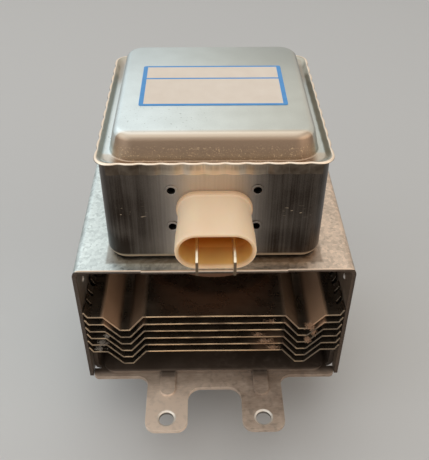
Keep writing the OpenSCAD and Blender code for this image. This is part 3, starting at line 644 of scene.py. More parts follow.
def corner_radius(inset):
    """The radius of a ring's corners, read between the stops of the table."""
    for (near, first), (far, second) in zip(CORNER_AT, CORNER_AT[1:]):
        if inset <= far:
            return first + (second - first) * (inset - near) / (far - near)


lid_rings = []
for inset, z in lid_rows:
    ring_size = ((LID_W - 2 * inset) * MM, (LID_D - 2 * inset) * MM, 1)
    lid_rings.append((Vector((0, LID_MID_Y, z)) * MM, ring_size, corner_radius(inset) * MM))
lid = loft("crimped_lid", lid_rings, SIDE_STEPS, LYING)
close_ring(lid, len(lid_rings))
close_mesh()
print("lid loft:", len(lid_rings), "rings,", len(lid.data.vertices), "points")

# %% Crimp dents
DENT_PITCH = 6.4
DENT_W = 5.0
DENT_DEPTH = 0.42
DENT_REACH = 2.4
BOX_CORNER = 7.0

ring_of = lid.data.attributes["ring"].data
for point in lid.data.vertices:
    number = ring_of[point.index].value
    inset = lid_rows[number - 1][0]
    if inset > DENT_REACH:
        continue
    x, y = point.co.x / MM, point.co.y / MM - LID_MID_Y
    on_side = LID_W / 2 - abs(x) < LID_D / 2 - abs(y)
    along, length = (y, LID_D) if on_side else (x, LID_W)
    count = math.floor((length - 2 * BOX_CORNER) / DENT_PITCH)
    step = along / DENT_PITCH + count / 2
    if step < -0.5 or step > count + 0.5:
        continue
    off = (step - round(step)) * DENT_PITCH
    if abs(off) > DENT_W / 2:
        continue
    push = DENT_DEPTH * math.cos(math.pi * off / DENT_W) ** 2 * (1 - inset / DENT_REACH) * MM
    if on_side:
        point.co.x -= math.copysign(push, x)
    else:
        point.co.y -= math.copysign(push, y)
print("dents every", DENT_PITCH, "mm,", DENT_DEPTH, "mm deep")

# %% Open corners and thickness
LID_T = 0.7
OPEN_AT_FRONT = 3.8
OPEN_AT_SIDE = 7.0
SKIRT_ROWS = len(SKIRT_UP) + 1


def in_open_corner(face):
    """Whether a face belongs to the skirt and lies where the skirt is left out."""
    layer = bmesh.from_edit_mesh(lid.data).verts.layers.int["ring"]
    painted_pale_middle = face.calc_center_median() / MM
    past_x = abs(painted_pale_middle.x) > LID_W / 2 - OPEN_AT_FRONT
    past_y = abs(painted_pale_middle.y - LID_MID_Y) > LID_D / 2 - OPEN_AT_SIDE
    return past_x and past_y and all(point[layer] <= SKIRT_ROWS for point in face.verts)


open_mesh(lid, "FACE")
cut = pick(lid, "faces", in_open_corner)
bpy.ops.mesh.delete(type="FACE")
bpy.ops.mesh.select_all(action="SELECT")
bpy.ops.mesh.normals_make_consistent(inside=False)
close_mesh()
lid.data.attributes.remove(lid.data.attributes["ring"])
top_face = max(lid.data.polygons, key=lambda face: face.area)
if top_face.normal.z < 0:
    open_mesh(lid)
    bpy.ops.mesh.select_all(action="SELECT")
    bpy.ops.mesh.flip_normals()
    close_mesh()
apply_modifier(lid, "SOLIDIFY", thickness=LID_T * MM, offset=-1)
smooth(lid, degrees=40)
ride_as(lid, "lid_steel", "filter_box_lid")
print("lid:", cut, "corner faces cut away,", len(lid.data.polygons), "faces")

# %% [markdown]
# The moulded connector
#
# The two filament leads end in flat tabs inside an oval shell of cream plastic. It leaves the box wall
# through a collar, is narrower near the box, swells softly by half a millimetre towards its mouth, and its
# lip is rounded. One loft runs along the outside to the lip and back along the inside to the floor. A row
# of the table is a place along Y and a height in millimetres, and every oval is wider than high by the same
# flat stretch. A hair of flat is also left at the ends of the oval, so that the bevelled corners don't meet,
# and the points there are merged afterwards.

# %% Connector rows
CONNECTOR_Z = 76.9
OVAL_FLAT = 10.6
connector_rows = [
    (-32.95, 12.4),
    (-34.4, 12.4),
    (-34.56, 13.6),
    (-35.5, 13.6),
    (-35.8, 13.45),
    (-36.0, 13.0),
    (-36.3, 12.6),
    (-36.9, 12.4),
    (-41.0, 12.4),
    (-43.0, 12.5),
    (-45.0, 12.75),
    (-47.0, 13.1),
    (-49.0, 13.38),
    (-51.5, 13.5),
    (-54.8, 13.5),
    (-55.17, 13.4),
    (-55.4, 13.15),
    (-55.5, 12.8),
    (-55.55, 12.25),
    (-55.5, 11.7),
    (-55.4, 11.35),
    (-55.17, 11.05),
    (-54.8, 10.9),
    (-51.0, 10.9),
    (-47.4, 10.8),
    (-46.8, 10.6),
    (-46.4, 9.9),
    (-41.0, 9.8),
    (-37.5, 9.7),
    (-37.1, 9.4),
    (-36.95, 8.8),
]
print("connector table:", len(connector_rows), "rows")

# %% Connector loft
FACING_FRONT = (math.radians(90), 0, 0)
OVAL_STEPS = 10
END_FLAT = 0.004
OVAL_WELD = 0.02 * MM

connector_rings = [
    (
        Vector((0, y, CONNECTOR_Z)) * MM,
        ((height + OVAL_FLAT) * MM, 1, height * MM),
        (height / 2 - END_FLAT) * MM,
    )
    for y, height in connector_rows
]
connector = loft("connector_shell_moulded", connector_rings, OVAL_STEPS, FACING_FRONT)
close_ring(connector, 1)
close_ring(connector, len(connector_rings))
bpy.ops.mesh.select_all(action="SELECT")
bpy.ops.mesh.remove_doubles(threshold=OVAL_WELD)
bpy.ops.mesh.normals_make_consistent(inside=False)
close_mesh()
connector.data.attributes.remove(connector.data.attributes["ring"])
smooth(connector, degrees=50)
ride_as(connector, "connector_plastic", "connector_shell")
print("connector:", len(connector.data.polygons), "faces")

# %% [markdown]
# Pressed dimples in the yoke walls
#
# Each wall of the yoke has a small dimple pressed in from outside, near the front and the back, which keeps
# the topmost fin from riding up. A circle is filled and inset four times, each time a little higher, so
# that it becomes a low dome that grows out of the wall.

# %% Wall dimples
DIMPLE_R = 1.5
DIMPLE_Y = 32.2
DIMPLE_Z = 44.5
DIMPLE_SUNK = 0.05
DIMPLE_POINTS = 24
DIMPLE_STEPS = [(0.25, 0.14), (0.3, 0.26), (0.35, 0.2), (0.35, 0.08)]
WALL_IN = 46.1


def press_dimple(piece, side, end):
    """Add one domed dimple to the open mesh on the inner face of a wall."""
    bpy.ops.mesh.select_all(action="DESELECT")
    place = Vector((side * (WALL_IN + DIMPLE_SUNK), end * DIMPLE_Y, DIMPLE_Z)) * MM
    bpy.ops.mesh.primitive_circle_add(
        vertices=DIMPLE_POINTS, radius=DIMPLE_R * MM, fill_type="NGON", location=place,
        rotation=(0, math.radians(-90 * side), 0),
    )
    for inset, depth in DIMPLE_STEPS:
        bpy.ops.mesh.inset(thickness=inset * MM, depth=depth * MM)


dimples = empty_piece("wall_dimples")
open_mesh(dimples, "FACE")
for side in (-1, 1):
    for end in (-1, 1):
        press_dimple(dimples, side, end)
close_mesh()
single_out(dimples)
bpy.ops.object.shade_smooth()
ride_as(dimples, "galvanised_yoke")
print("dimples:", len(dimples.data.polygons), "faces")

# %% [markdown]
# Lint
#
# A fan has blown kitchen air through the fins for years, and lint has caught on their edges. A tuft is a
# tangle of short fibres round a centre: each fibre is a random walk drawn as a curve with a thin round
# section, and the whole tangle is converted to one mesh. The walks are pulled back to the centre, so that
# the tuft holds together and stays on the fin that carries it.

# %% Fibres and tufts
FIBRE_STEPS = 7
FIBRE_STEP = 0.32
START_SPREAD = 0.55
TWIST = 0.6
PULL = 0.35


def fibre(centre, spread):
    """Points of one fibre, a random walk that is pulled back towards the centre."""
    here = Vector([random.gauss(c, START_SPREAD * s) for c, s in zip(centre, spread)])
    heading = Vector([random.gauss(0, 1) for _ in range(3)]).normalized()
    points = []
    for _ in range(FIBRE_STEPS):
        points.append(here.copy())
        pull = Vector([(c - h) / s for c, h, s in zip(centre, here, spread)])
        twist = Vector([random.gauss(0, TWIST) for _ in range(3)])
        heading = (heading + twist + PULL * pull).normalized()
        here += heading * FIBRE_STEP
    return points


def lint(name, tufts, thickness):
    """One piece of lint from tufts of (centre, spread, number of fibres), in millimetres."""
    curve = bpy.data.curves.new(name, "CURVE")
    curve.dimensions = "3D"
    curve.bevel_depth = thickness * MM
    curve.bevel_resolution = 0
    for centre, spread, count in tufts:
        for _ in range(count):
            line = curve.splines.new("POLY")
            points = fibre(centre, spread)
            line.points.add(len(points) - 1)
            for target, point in zip(line.points, points):
                target.co = (*(point * MM), 1)
    strand = bpy.data.objects.new(name, curve)
    bpy.context.scene.collection.objects.link(strand)
    single_out(strand)
    bpy.ops.object.convert(target="MESH")
    piece = bpy.context.object
    ride_as(piece, "fin_aluminium")
    return piece


print("a fibre is", round((FIBRE_STEPS - 1) * FIBRE_STEP, 2), "mm long")

# %% Lint on the fins
random.seed(5)
lint_right = lint(
    "lint_right",
    [
        ((34.4, -40.6, 28.3), (1.5, 1.0, 1.1), 150),
        ((34.0, -40.7, 21.2), (1.2, 0.9, 0.9), 90),
        ((35.6, -40.4, 25.2), (0.8, 0.7, 1.0), 50),
    ],
    thickness=0.045,
)
lint_middle = lint(
    "lint_middle",
    [
        ((18.5, -40.7, 20.6), (2.4, 0.7, 0.8), 90),
        ((21.5, -40.7, 17.0), (2.0, 0.7, 0.7), 70),
        ((15.5, -40.8, 24.0), (1.8, 0.5, 0.5), 40),
        ((20.0, -40.7, 31.0), (1.6, 0.5, 0.4), 24),
    ],
    thickness=0.035,
)
lint_left = lint(
    "lint_left",
    [
        ((-40.4, -40.5, 20.3), (1.6, 0.8, 0.6), 70),
        ((-38.6, -40.5, 24.2), (1.0, 0.7, 0.6), 40),
        ((-42.2, -40.3, 16.7), (1.2, 0.8, 0.6), 50),
    ],
    thickness=0.035,
)
print("lint:", [len(piece.data.polygons) for piece in (lint_right, lint_middle, lint_left)], "faces")

# %% [markdown]
# Spangled zinc of the yoke
#
# Hot-dip galvanising freezes into crystals, and each crystal reflects a little more or less light. A
# Voronoi pattern gives every crystal its own grey, fine noise breaks its edges, and wide blotches make the
# sheet uneven. A painted tint makes the zinc cooler on the left and warmer on the right, like the lamps.
# Inside the yoke the zinc is painted a darker brown, and painted shade lies round the foot of the box, where
# the box shades the zinc and is mirrored in it. The tips of the dimples carry a painted glint. The edges
# were
# cut after galvanising: the lower part of each cut end is painted dark, and its upper line carries a painted
# highlight.

# %% Yoke finish
WALL_OUT = 47.5
TOP_Z = 55.0
CUT_END_Y = 39.3
FOOT_SHADE_HALF_W = 37
FOOT_SHADE_Y = -36.6
TINT_HALF_W = 46

finishes = {}


def keep_finish(slot, material):
    """Keep a finish for a slot of the record and say how many nodes it took."""
    finishes[slot] = material
    print(slot, "gets", material.name, "of", len(material.node_tree.nodes), "nodes")


material, shader, place = new_finish("spangled_zinc")
x, y, z = axes_of(place)
crystal = place.cells(1.1)
fine = place.noise(0.4, 3)
blotch = place.noise(11, 3)
tone = 0.55 * crystal + 0.42 * fine + 0.40 * blotch - 0.16
# Painted tint of the lamps: the zinc is painted cooler on the left and warmer on the right.
cool_lit_left = tone.blend(paint(150, 158, 156), paint(238, 245, 242))
warm_lit_right = tone.blend(paint(142, 130, 117), paint(238, 215, 194))
outer_wall = (abs(x) - (WALL_OUT - 0.6)).ramp(0, 0.4)
zinc = (x.ramp(-TINT_HALF_W, TINT_HALF_W) * (1 - 0.8 * outer_wall)).blend(cool_lit_left, warm_lit_right)
# The inside of the yoke is painted a darker brown.
inside = (WALL_IN + 0.4 - abs(x)).ramp(0, 0.3) * (TOP_Z - 1.1 - z).ramp(0, 0.25)
# Painted shade round the foot of the box.
foot_shade = (FOOT_SHADE_HALF_W - abs(x)).ramp(0, 1) * (y - FOOT_SHADE_Y).ramp(0, 1) * (z - (TOP_Z - 0.3)).ramp(0, 0.2)
inner_darker = (inside * (0.55 + 0.5 * blotch)).ramp(0, 1)
sheet = (inner_darker + 0.6 * foot_shade).blend(zinc, paint(104, 86, 70))
end_face = (abs(y) - CUT_END_Y).ramp(0, 0.1)
end_cut = end_face * (TOP_Z - 0.5 - z).ramp(0, 0.2)
# Painted highlight on the upper line of the cut ends; below it the cut ends are painted dark.
painted_edge_highlight = (end_face * (z - (TOP_Z - 0.6)).ramp(0, 0.2)).blend(sheet, paint(240, 216, 192))
dark_cut_ends = (end_cut * (0.75 + 0.4 * fine)).blend(painted_edge_highlight, paint(74, 58, 46))
# Painted glint on the tips of the dimples.
dimple_glint = (WALL_IN - 0.2 - abs(x)).ramp(0, 0.15) * (TOP_Z - 5 - z).ramp(0, 0.5)
feed(
    shader,
    Base_Color=dimple_glint.blend(dark_cut_ends, paint(242, 234, 224)),
    Roughness=0.28 + 0.18 * crystal + 0.10 * blotch + 0.12 * inside + 0.2 * end_cut - 0.2 * dimple_glint,
    Metallic=1 - 0.45 * inside - 0.3 * end_cut - 0.3 * dimple_glint,
    Normal=(crystal + 0.6 * fine).bump(0.02, 0.4),
)
keep_finish("galvanised_yoke", material)

# %% [markdown]
# Drawn steel of the filter box
#
# The box was pulled through a die, and the die left faint upright streaks. Noise that is stretched along Z
# makes them. The plating is painted brown as a painted reflection of the dark surroundings: paler in the
# middle of the front and on the sides, darker at the two ends of the front and low on the left. Handling has
# left a few bright scratches, and the rounded lower edge carries a painted highlight.

# %% Box finish
PALE_MID_X = -1.7
PALE_HALF_W = 22
PALE_FADE = 18
BOX_SIDE_X = 35
BOX_CORNER_Y = -31
DARK_LOW_LEFT_X = -24
DARK_LOW_LEFT_Z = 68
SCRATCH_X = 26.5
SCRATCH_Z = 75.5

material, shader, place = new_finish("drawn_box_steel")
x, y, z = axes_of(place)
streak = place.noise(0.7, 2, (1, 1, 45))
cloud = place.noise(17, 3)
grain = place.noise(0.3, 2)
# Painted reflection: paler in the middle of the front and on the sides, darker low on the left.
painted_pale_middle = (PALE_HALF_W - abs(x - PALE_MID_X)).ramp(0, PALE_FADE)
painted_pale_flank = (abs(x) - BOX_SIDE_X).ramp(0, 0.6) * (y - BOX_CORNER_Y).ramp(0, 4)
painted_dark_low_left = (DARK_LOW_LEFT_X - x).ramp(0, 6) * (DARK_LOW_LEFT_Z - z).ramp(0, 6)
tone = 0.20 * streak + 0.25 * cloud + 0.75 * painted_pale_middle + 0.1 * grain - 0.22 - 0.12 * painted_dark_low_left + 0.34 * painted_pale_flank
steel = tone.blend(paint(50, 42, 36), paint(212, 200, 188))
scratch = place.noise(0.4, 1, (7, 1, 1)).ramp(0.68, 0.73)
patch = (6 - abs(abs(x) - SCRATCH_X)).ramp(0, 3) * (3 - abs(z - SCRATCH_Z)).ramp(0, 2)
# Painted highlight along the rounded lower edge, mixed here with the real scratches.
lower_edge_highlight = (TOP_Z + 3.4 - z).ramp(0, 1.5) * (z - (TOP_Z + 0.4)).ramp(0, 0.7)
scratches_and_highlight = (scratch * patch + 0.85 * lower_edge_highlight).ramp(0, 1)
feed(
    shader,
    Base_Color=scratches_and_highlight.blend(steel, paint(214, 192, 164)),
    Roughness=0.24 + 0.16 * cloud + 0.10 * streak,
    Metallic=1 - 0.45 * lower_edge_highlight,
    Normal=(streak + 0.5 * grain).bump(0.015, 0.3),
)
keep_finish("box_steel", material)

# %% [markdown]
# Bright plating of the lid
#
# The lid's plating is newer to the eye: pale, with a satin skin. A painted tint makes it slightly blue on
# the left and warmer on the right, like the lamps. Painted shade makes it greyer towards the back right and
# darker on the leaning side walls and shoulders of the plateau than on its top. Each later step of this
# finish blends one more colour over the one before it.

# %% Lid plating
PLATEAU_SIDE_X = 29.6

material, shader, place = new_finish("lid_plating", Metallic=1.0)
x, y, z = axes_of(place)
satin = place.noise(6, 3)
fine = place.noise(0.4, 3)
tone = 0.55 * satin + 0.45 * fine
# Painted tint of the lamps: slightly blue on the left, warmer on the right.
cool_lit_left = tone.blend(paint(198, 206, 205), paint(232, 240, 240))
warm_lit_right = tone.blend(paint(200, 200, 190), paint(236, 238, 228))
plating = x.ramp(-30, 30).blend(cool_lit_left, warm_lit_right)
# Painted shade: greyer towards the back right.
shade = 0.55 * x.ramp(-20, 36) + 0.45 * y.ramp(-6, 34)
tinted = (0.8 * shade).blend(plating, paint(134, 139, 138))
# Painted shade on the leaning side walls and shoulders of the plateau.
side_wall_shade = (abs(x) - PLATEAU_SIDE_X).ramp(0, 2.6) * (LID_W / 2 - 3.7 - abs(x)).ramp(0, 0.3)
side_shaded = (0.5 * side_wall_shade * (z - (TROUGH_Z + 0.2)).ramp(0, 0.4)).blend(tinted, paint(128, 121, 110))
print("lid plating laid over", round(LID_W, 1), "by", round(LID_D, 1), "mm")

# %% [markdown]
# Dust, specks and painted reflection on the lid
#
# The front slope of the plateau is painted brown, darker downwards, a painted reflection of the dark
# surroundings, with a tan band along its shoulder as the painted colour of the highlight there. Tan dust
# lies on it as fine specks, and a few dark specks lie on the flat in front of the label.

# %% Dust and painted reflection on the lid
SLOPE_TOP_Y = -27.3
SLOPE_FOOT_Y = -33.9
TAN_TOP_Y = -26.2
TAN_FOOT_Y = -31.5
SPOTS_FROM_Y = -30
SPOTS_TO_Y = -8
SPOTS_TO_X = 8

off_ends = (LID_W / 2 - 4.2 - abs(x)).ramp(0, 3.5)
front = (SLOPE_TOP_Y - y).ramp(0, 0.4) * (y - SLOPE_FOOT_Y).ramp(0, 0.5) * off_ends
# Painted tan band along the shoulder and painted reflection down the front slope; the specks are real dust.
tan_shoulder_band = 0.55 * (TAN_TOP_Y - y).ramp(0, 1.6) * (y - TAN_FOOT_Y).ramp(0, 0.3)
tan = tan_shoulder_band.blend(side_shaded, paint(200, 176, 150))
shoulder = (front * (PLATEAU_TOP - 0.02 - z).ramp(0, 0.5)).blend(tan, paint(184, 168, 150))
front_painted_reflection = (front * (PLATEAU_TOP - 0.3 - z).ramp(0, 1.6)).blend(shoulder, paint(158, 134, 113))
dust = place.noise(0.42, 2).ramp(0.61, 0.66) * front * (PLATEAU_TOP - 2.8 - z).ramp(0, 2)
dusty = (0.85 * dust).blend(front_painted_reflection, paint(216, 190, 158))
before_label = (y - SPOTS_FROM_Y).ramp(0, 6) * (SPOTS_TO_Y - y).ramp(0, 8) * (SPOTS_TO_X - x).ramp(0, 20)
spot = place.noise(0.9, 2).ramp(0.64, 0.72) * before_label
spotted = (0.5 * spot).blend(dusty, paint(112, 112, 104))
print("dust lies from y", SLOPE_TOP_Y, "to", SLOPE_FOOT_Y, "mm")

# %% [markdown]
# Rim and skirt of the lid
#
# The rim is told from the rest by its distance from the fold. For a rounded rectangle that distance is a
# short sum: the length of what reaches past the corner's centre, or the larger of the two where neither
# does. The fold is painted a warm cream, the colour of the highlight along it, and the slope inside it is
# painted darker as painted shade. The skirt below is painted brown like the box, a painted reflection that
# is paler in the middle, with painted shade in the crimp dents; it is also paler along its lower edge.

# %% Rim and skirt of the lid
FOLD_INSET = 0.46
SLOPE_INSET = 1.9
STAIN_INSET = 3.3
STAIN_Y = 16

past_x = abs(x) - (LID_W / 2 - RIM_CORNER)
past_y = abs(y - LID_MID_Y) - (LID_D / 2 - RIM_CORNER)
round_x = place.math("MAXIMUM", past_x, 0.0)
round_y = place.math("MAXIMUM", past_y, 0.0)
within = place.math("MINIMUM", place.math("MAXIMUM", past_x, past_y), 0.0)
past = (round_x * round_x + round_y * round_y) ** 0.5 + within - (RIM_CORNER - FOLD_INSET)
stain = 0.6 * (past + STAIN_INSET).ramp(0, 0.4) * (y - STAIN_Y).ramp(0, 10)
stained = stain.blend(spotted, paint(150, 130, 108))
# Painted shade on the slope inside the fold.
slope_shaded = (0.8 * (past + SLOPE_INSET).ramp(0, 0.5)).blend(stained, paint(164, 159, 145))
# Painted cream on the fold, the colour of its highlight.
on_crest = (past + CREST).ramp(0, 0.15) * (z - (RIM_Z - CREST)).ramp(0, 0.15)
crest_highlight_tint = on_crest.blend(slope_shaded, paint(230, 212, 192))
# Painted reflection on the skirt, paler in the middle, with painted shade in the crimp dents.
skirt = past.ramp(0, 0.06) * (RIM_Z - 0.25 - z).ramp(0, 0.25)
painted_pale_middle = (PALE_HALF_W - abs(x - PALE_MID_X)).ramp(0, PALE_FADE)
crimp_shade = place.noise(0.9, 2, (1, 1, 12)) * (z - (SKIRT_Z + 1)).ramp(0, 1.2)
lower_lip = (SKIRT_Z + 0.5 - z).ramp(0, 0.4)
mottle = 0.35 * place.noise(3.5, 3) + painted_pale_middle * (0.85 + 0.2 * lower_lip - 0.5 * crimp_shade) - 0.09
skirt_painted_reflection = mottle.blend(paint(58, 47, 38), paint(226, 208, 186))
feed(
    shader,
    Base_Color=skirt.blend(crest_highlight_tint, skirt_painted_reflection),
    Roughness=0.27 + 0.10 * satin + 0.08 * fine + 0.4 * dust,
    Normal=(satin + 0.35 * fine).bump(0.03, 0.25),
)
keep_finish("lid_steel", material)

# %% [markdown]
# Aluminium of the fins
#
# The fins are thin rolled sheet, browned by dirt and painted darker as painted shade of the cavity, but
# still glossy. The slopes of the dips are painted a paler matt tan, painted light where the lamps reach
# them. Their cut edges carry a painted highlight in places, most in the middle and on the lowest fin and
# less to the right, which draws the thin light lines at the front. A rusty stain spreads over the right half
# near the lint.

# %% Fin finish
FLAT_END = 25
DIP_MID = 31.5
DIP_END = 38.8
FIN_EDGE_Y = 40.86
UPPER_FINS_Z = 26.5
LOWEST_FIN_Z = 20
RUST_X = 20
RUST_Z = 19.5
RUST_Y = -34

material, shader, place = new_finish("fin_sheet")
x, y, z = axes_of(place)
roll = place.noise(0.6, 2, (30, 1, 1))
grime = place.noise(5, 3)
# Dirt and painted shade of the cavity darken the flats.
flats = (0.5 * roll + 0.6 * grime - 0.1).blend(paint(82, 70, 58), paint(146, 131, 114))
# Painted light on the slopes of the dips.
outer_slope = (abs(x) - (DIP_MID + 1)).ramp(0, 1.5) * (DIP_END + 1.7 - abs(x)).ramp(0, 1.5)
inner_slope = (abs(x) - (FLAT_END - 1.5)).ramp(0, 1.5) * (DIP_MID + 0.5 - abs(x)).ramp(0, 1.5)
lit_dip_slopes = (outer_slope + 0.4 * inner_slope) * (z - UPPER_FINS_Z).ramp(0, 3)
browned = (0.4 * (FLAT_END - 1 - abs(x)).ramp(0, 5)).blend(flats, paint(140, 112, 90))
sheet = (0.75 * lit_dip_slopes).blend(browned, paint(190, 150, 118))
# Painted highlight on the cut edges, varied by noise, strongest in the middle and weaker to the right.
edge = (abs(y) - FIN_EDGE_Y).ramp(0, 0.1)
lowest = (LOWEST_FIN_Z - z).ramp(0, 2) * (FLAT_END - abs(x)).ramp(0, 1)
painted_edge_highlight = place.noise(6, 3, (1, 1, 0.2)) + 0.35 * lowest
in_middle = (FLAT_END - 0.5 - abs(x)).ramp(0, 1)
in_dip = (1.9 - abs(abs(x) - DIP_MID)).ramp(0, 0.5)
at_tabs = (abs(x) - DIP_END).ramp(0, 0.6)
edge_highlight_strength = 0.25 + 0.75 * in_middle + 0.4 * in_dip + 0.25 * at_tabs - 0.22 * x.ramp(6, 24)
edges_highlighted = (edge * painted_edge_highlight.ramp(0.2, 0.7) * edge_highlight_strength).blend(sheet, paint(242, 208, 168))
near_x = (9 - abs(x - RUST_X)).ramp(0, 7)
near_z = (7 - abs(z - RUST_Z)).ramp(0, 6)
rust = near_x * near_z * (RUST_Y - y).ramp(0, 4) * (0.35 + grime).ramp(0.6, 1.0)
feed(
    shader,
    Base_Color=(0.75 * rust).blend(edges_highlighted, paint(122, 80, 52)),
    Roughness=0.20 + 0.16 * grime + 0.3 * rust + 0.12 * edge + 0.25 * lit_dip_slopes,
    Metallic=0.96 - 0.5 * rust - 0.15 * grime - 0.45 * lit_dip_slopes,
    Normal=(roll + grime).bump(0.02, 0.3),
)
keep_finish("fin_aluminium", material)

# %% [markdown]
# Grubby mounting plate
#
# The plate was clamped to the oven for years. Its plating is dull, smudged grey and tan, paler on the left
# lugs, with soft freckles. Painted shade darkens the pan under the fins, the grooves beside it and the walls
# of the bolt holes. The coined rings round the four bolt holes are polished by the nuts.

# %% Plate finish
HOLE_X = 17.5
HOLE_Y = 60
HOLE_R = 2.72
COIN_R = 3.5
PAN_END_Y = 41

material, shader, place = new_finish("worn_plate_zinc")
x, y, _ = axes_of(place)
smudge = place.noise(4.5, 4)
freckle = place.noise(2.0, 3).ramp(0.48, 0.72) * (0.35 + 0.65 * x.ramp(-14, 8))
rub = place.noise(0.5, 2, (4, 1, 1))
left_lug = (-4 - x).ramp(0, 6) * (abs(y) - (PAN_END_Y + 2)).ramp(0, 12)
right_tip = x.ramp(6, 12) * (abs(y) - (HOLE_Y - 4)).ramp(0, 8)
tone = 0.75 * smudge + 0.35 * rub - 0.3 * x.ramp(-6, 22) + 0.6 * left_lug + 0.2 * right_tip
zinc = tone.blend(paint(134, 113, 97), paint(230, 208, 188))
strip = (0.28 * (PAN_END_Y + 5 - abs(y)).ramp(0, 3)).blend(zinc, paint(110, 86, 66))
from_hole_x = abs(abs(x) - HOLE_X)
from_hole_y = abs(abs(y) - HOLE_Y)
# Painted shade in the pan under the fins and in the grooves beside it.
beside_pan = (PAN_END_Y + 2.4 - abs(y)).ramp(0, 2) * (abs(y) - (PAN_END_Y - 2)).ramp(0, 1)
groove_shade = (4 - from_hole_x).ramp(0, 2) * beside_pan
shaded = (0.9 * (PAN_END_Y - abs(y)).ramp(0, 3) + 0.7 * groove_shade).blend(strip, paint(58, 46, 37))
dirty = (0.4 * freckle).blend(shaded, paint(92, 80, 70))
from_hole = (from_hole_x * from_hole_x + from_hole_y * from_hole_y) ** 0.5
ring = (COIN_R - from_hole).ramp(0, 0.25)
# Painted shade on the walls of the bolt holes.
bore_shade = (HOLE_R - from_hole).ramp(0, 0.1)
ringed = (ring * (0.2 + 0.9 * smudge)).blend(dirty, paint(244, 236, 224))
feed(
    shader,
    Base_Color=bore_shade.blend(ringed, paint(62, 52, 44)),
    Roughness=0.42 + 0.25 * smudge + 0.1 * freckle - 0.15 * ring,
    Metallic=0.35 - 0.2 * freckle,
    Normal=(smudge + 0.4 * rub).bump(0.03, 0.3),
)
keep_finish("worn_plate", material)

# %% [markdown]
# Cream plastic of the connector
#
# The shell is moulded in a cream plastic that lets some light through, which warms its shadows. Inside it
# the colour is painted warmer near the mouth and amber deeper in, a painted stand-in for light that has
# crossed more plastic and bounced between its walls. The inner side of the lip and the collar at the box are
# a shade darker.

# %% Connector finish
OVAL_HALF_W = 5.4
INNER_R = 5.75
LIP_R = 6.5
MOUTH_Y = -55
COLLAR_Y = -36.3

material, shader, place = new_finish(
    "cream_plastic", Subsurface_Weight=0.25, Subsurface_Radius=(0.004, 0.002, 0.001), Subsurface_Scale=0.5,
    Coat_Roughness=0.3, IOR=1.5,
)
x, y, z = axes_of(place)
flow_lines = place.noise(7, 2, (1, 2.5, 1))
speck = place.noise(0.35, 2).ramp(0.74, 0.78)
shell = flow_lines.blend(paint(246, 208, 172), paint(253, 224, 190))
oval_x = place.math("MAXIMUM", abs(x) - OVAL_HALF_W, 0.0)
oval_z = z - CONNECTOR_Z
reach = (oval_x * oval_x + oval_z * oval_z) ** 0.5
inner = (INNER_R - reach).ramp(0, 0.3)
lip = (LIP_R - reach).ramp(0, 0.5) * (MOUTH_Y - y).ramp(0, 0.3)
lipped = (0.45 * lip).blend(shell, paint(224, 172, 112))
# Painted glow near the mouth and painted amber deeper inside, standing in for light through the plastic.
inner_glow_painted = (inner * (y - (MOUTH_Y - 0.8)).ramp(0, 2)).blend(lipped, paint(253, 204, 122))
deep_amber_painted = (inner * (y - (MOUTH_Y + 4)).ramp(0, 7)).blend(inner_glow_painted, paint(228, 148, 54))
collared = (0.6 * (y - COLLAR_Y).ramp(0, 0.4)).blend(deep_amber_painted, paint(204, 160, 116))
feed(
    shader,
    Base_Color=(0.3 * speck).blend(collared, paint(150, 112, 74)),
    Roughness=0.34 + 0.12 * flow_lines,
    Normal=flow_lines.bump(0.05, 0.2),
)
keep_finish("connector_plastic", material)

# %% [markdown]
# Printed label
#
# The sticker on the lid is a cream field in a blue frame, with a blue rule that parts off the upper third.
# The fields stay empty. Masks on X and Y draw the frame: a bar is wide at the left and right and narrow at
# the top and bottom.

# %% Label finish
SIDE_BAR = 1.5
END_BAR = 1.0
RULE_HALF = 0.45
INK_EDGE = 0.08
UPPER_FIELD = 0.34
label_low, label_high = (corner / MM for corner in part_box("label"))
LABEL_MID_Y = (label_low.y + label_high.y) / 2
LABEL_HALF_W = (label_high.x - label_low.x) / 2
LABEL_HALF_D = (label_high.y - label_low.y) / 2
RULE_Y = LABEL_MID_Y + LABEL_HALF_D - UPPER_FIELD * 2 * LABEL_HALF_D

material, shader, place = new_finish("label_film", Coat_Weight=0.25, Coat_Roughness=0.25)
x, y, _ = axes_of(place)
side_bar = (abs(x) - (LABEL_HALF_W - SIDE_BAR)).ramp(-INK_EDGE, INK_EDGE)
end_bar = (abs(y - LABEL_MID_Y) - (LABEL_HALF_D - END_BAR)).ramp(-INK_EDGE, INK_EDGE)
rule = (RULE_HALF - abs(y - RULE_Y)).ramp(-INK_EDGE, INK_EDGE)
ink = (side_bar + end_bar + rule).ramp(0, 1)
paper = place.noise(5, 3).blend(paint(228, 210, 192), paint(240, 225, 209))
faded = place.noise(3, 3).blend(paint(46, 132, 202), paint(70, 156, 220))
feed(
    shader,
    Base_Color=ink.blend(paper, faded),
    Roughness=0.4 + 0.15 * place.noise(2, 3),
    Normal=place.noise(1.5, 2).bump(0.02, 0.2),
)
keep_finish("label_paper", material)

# %% [markdown]
# Magnets and the parts that hide
#
# Ferrite is a black-brown ceramic with a sandy skin. The parts inside and below get the same kind of recipe
# with their own colours: copper for the cavity and the coils, plated steel for the tube's ends, matt
# ceramic, wire mesh for the gasket and dark plastic for the capacitor's case. A row of the table gives the
# slot, the finish, its dark and its light tone, the size of its blotches, its roughness, its metallic share
# and the bump's depth.

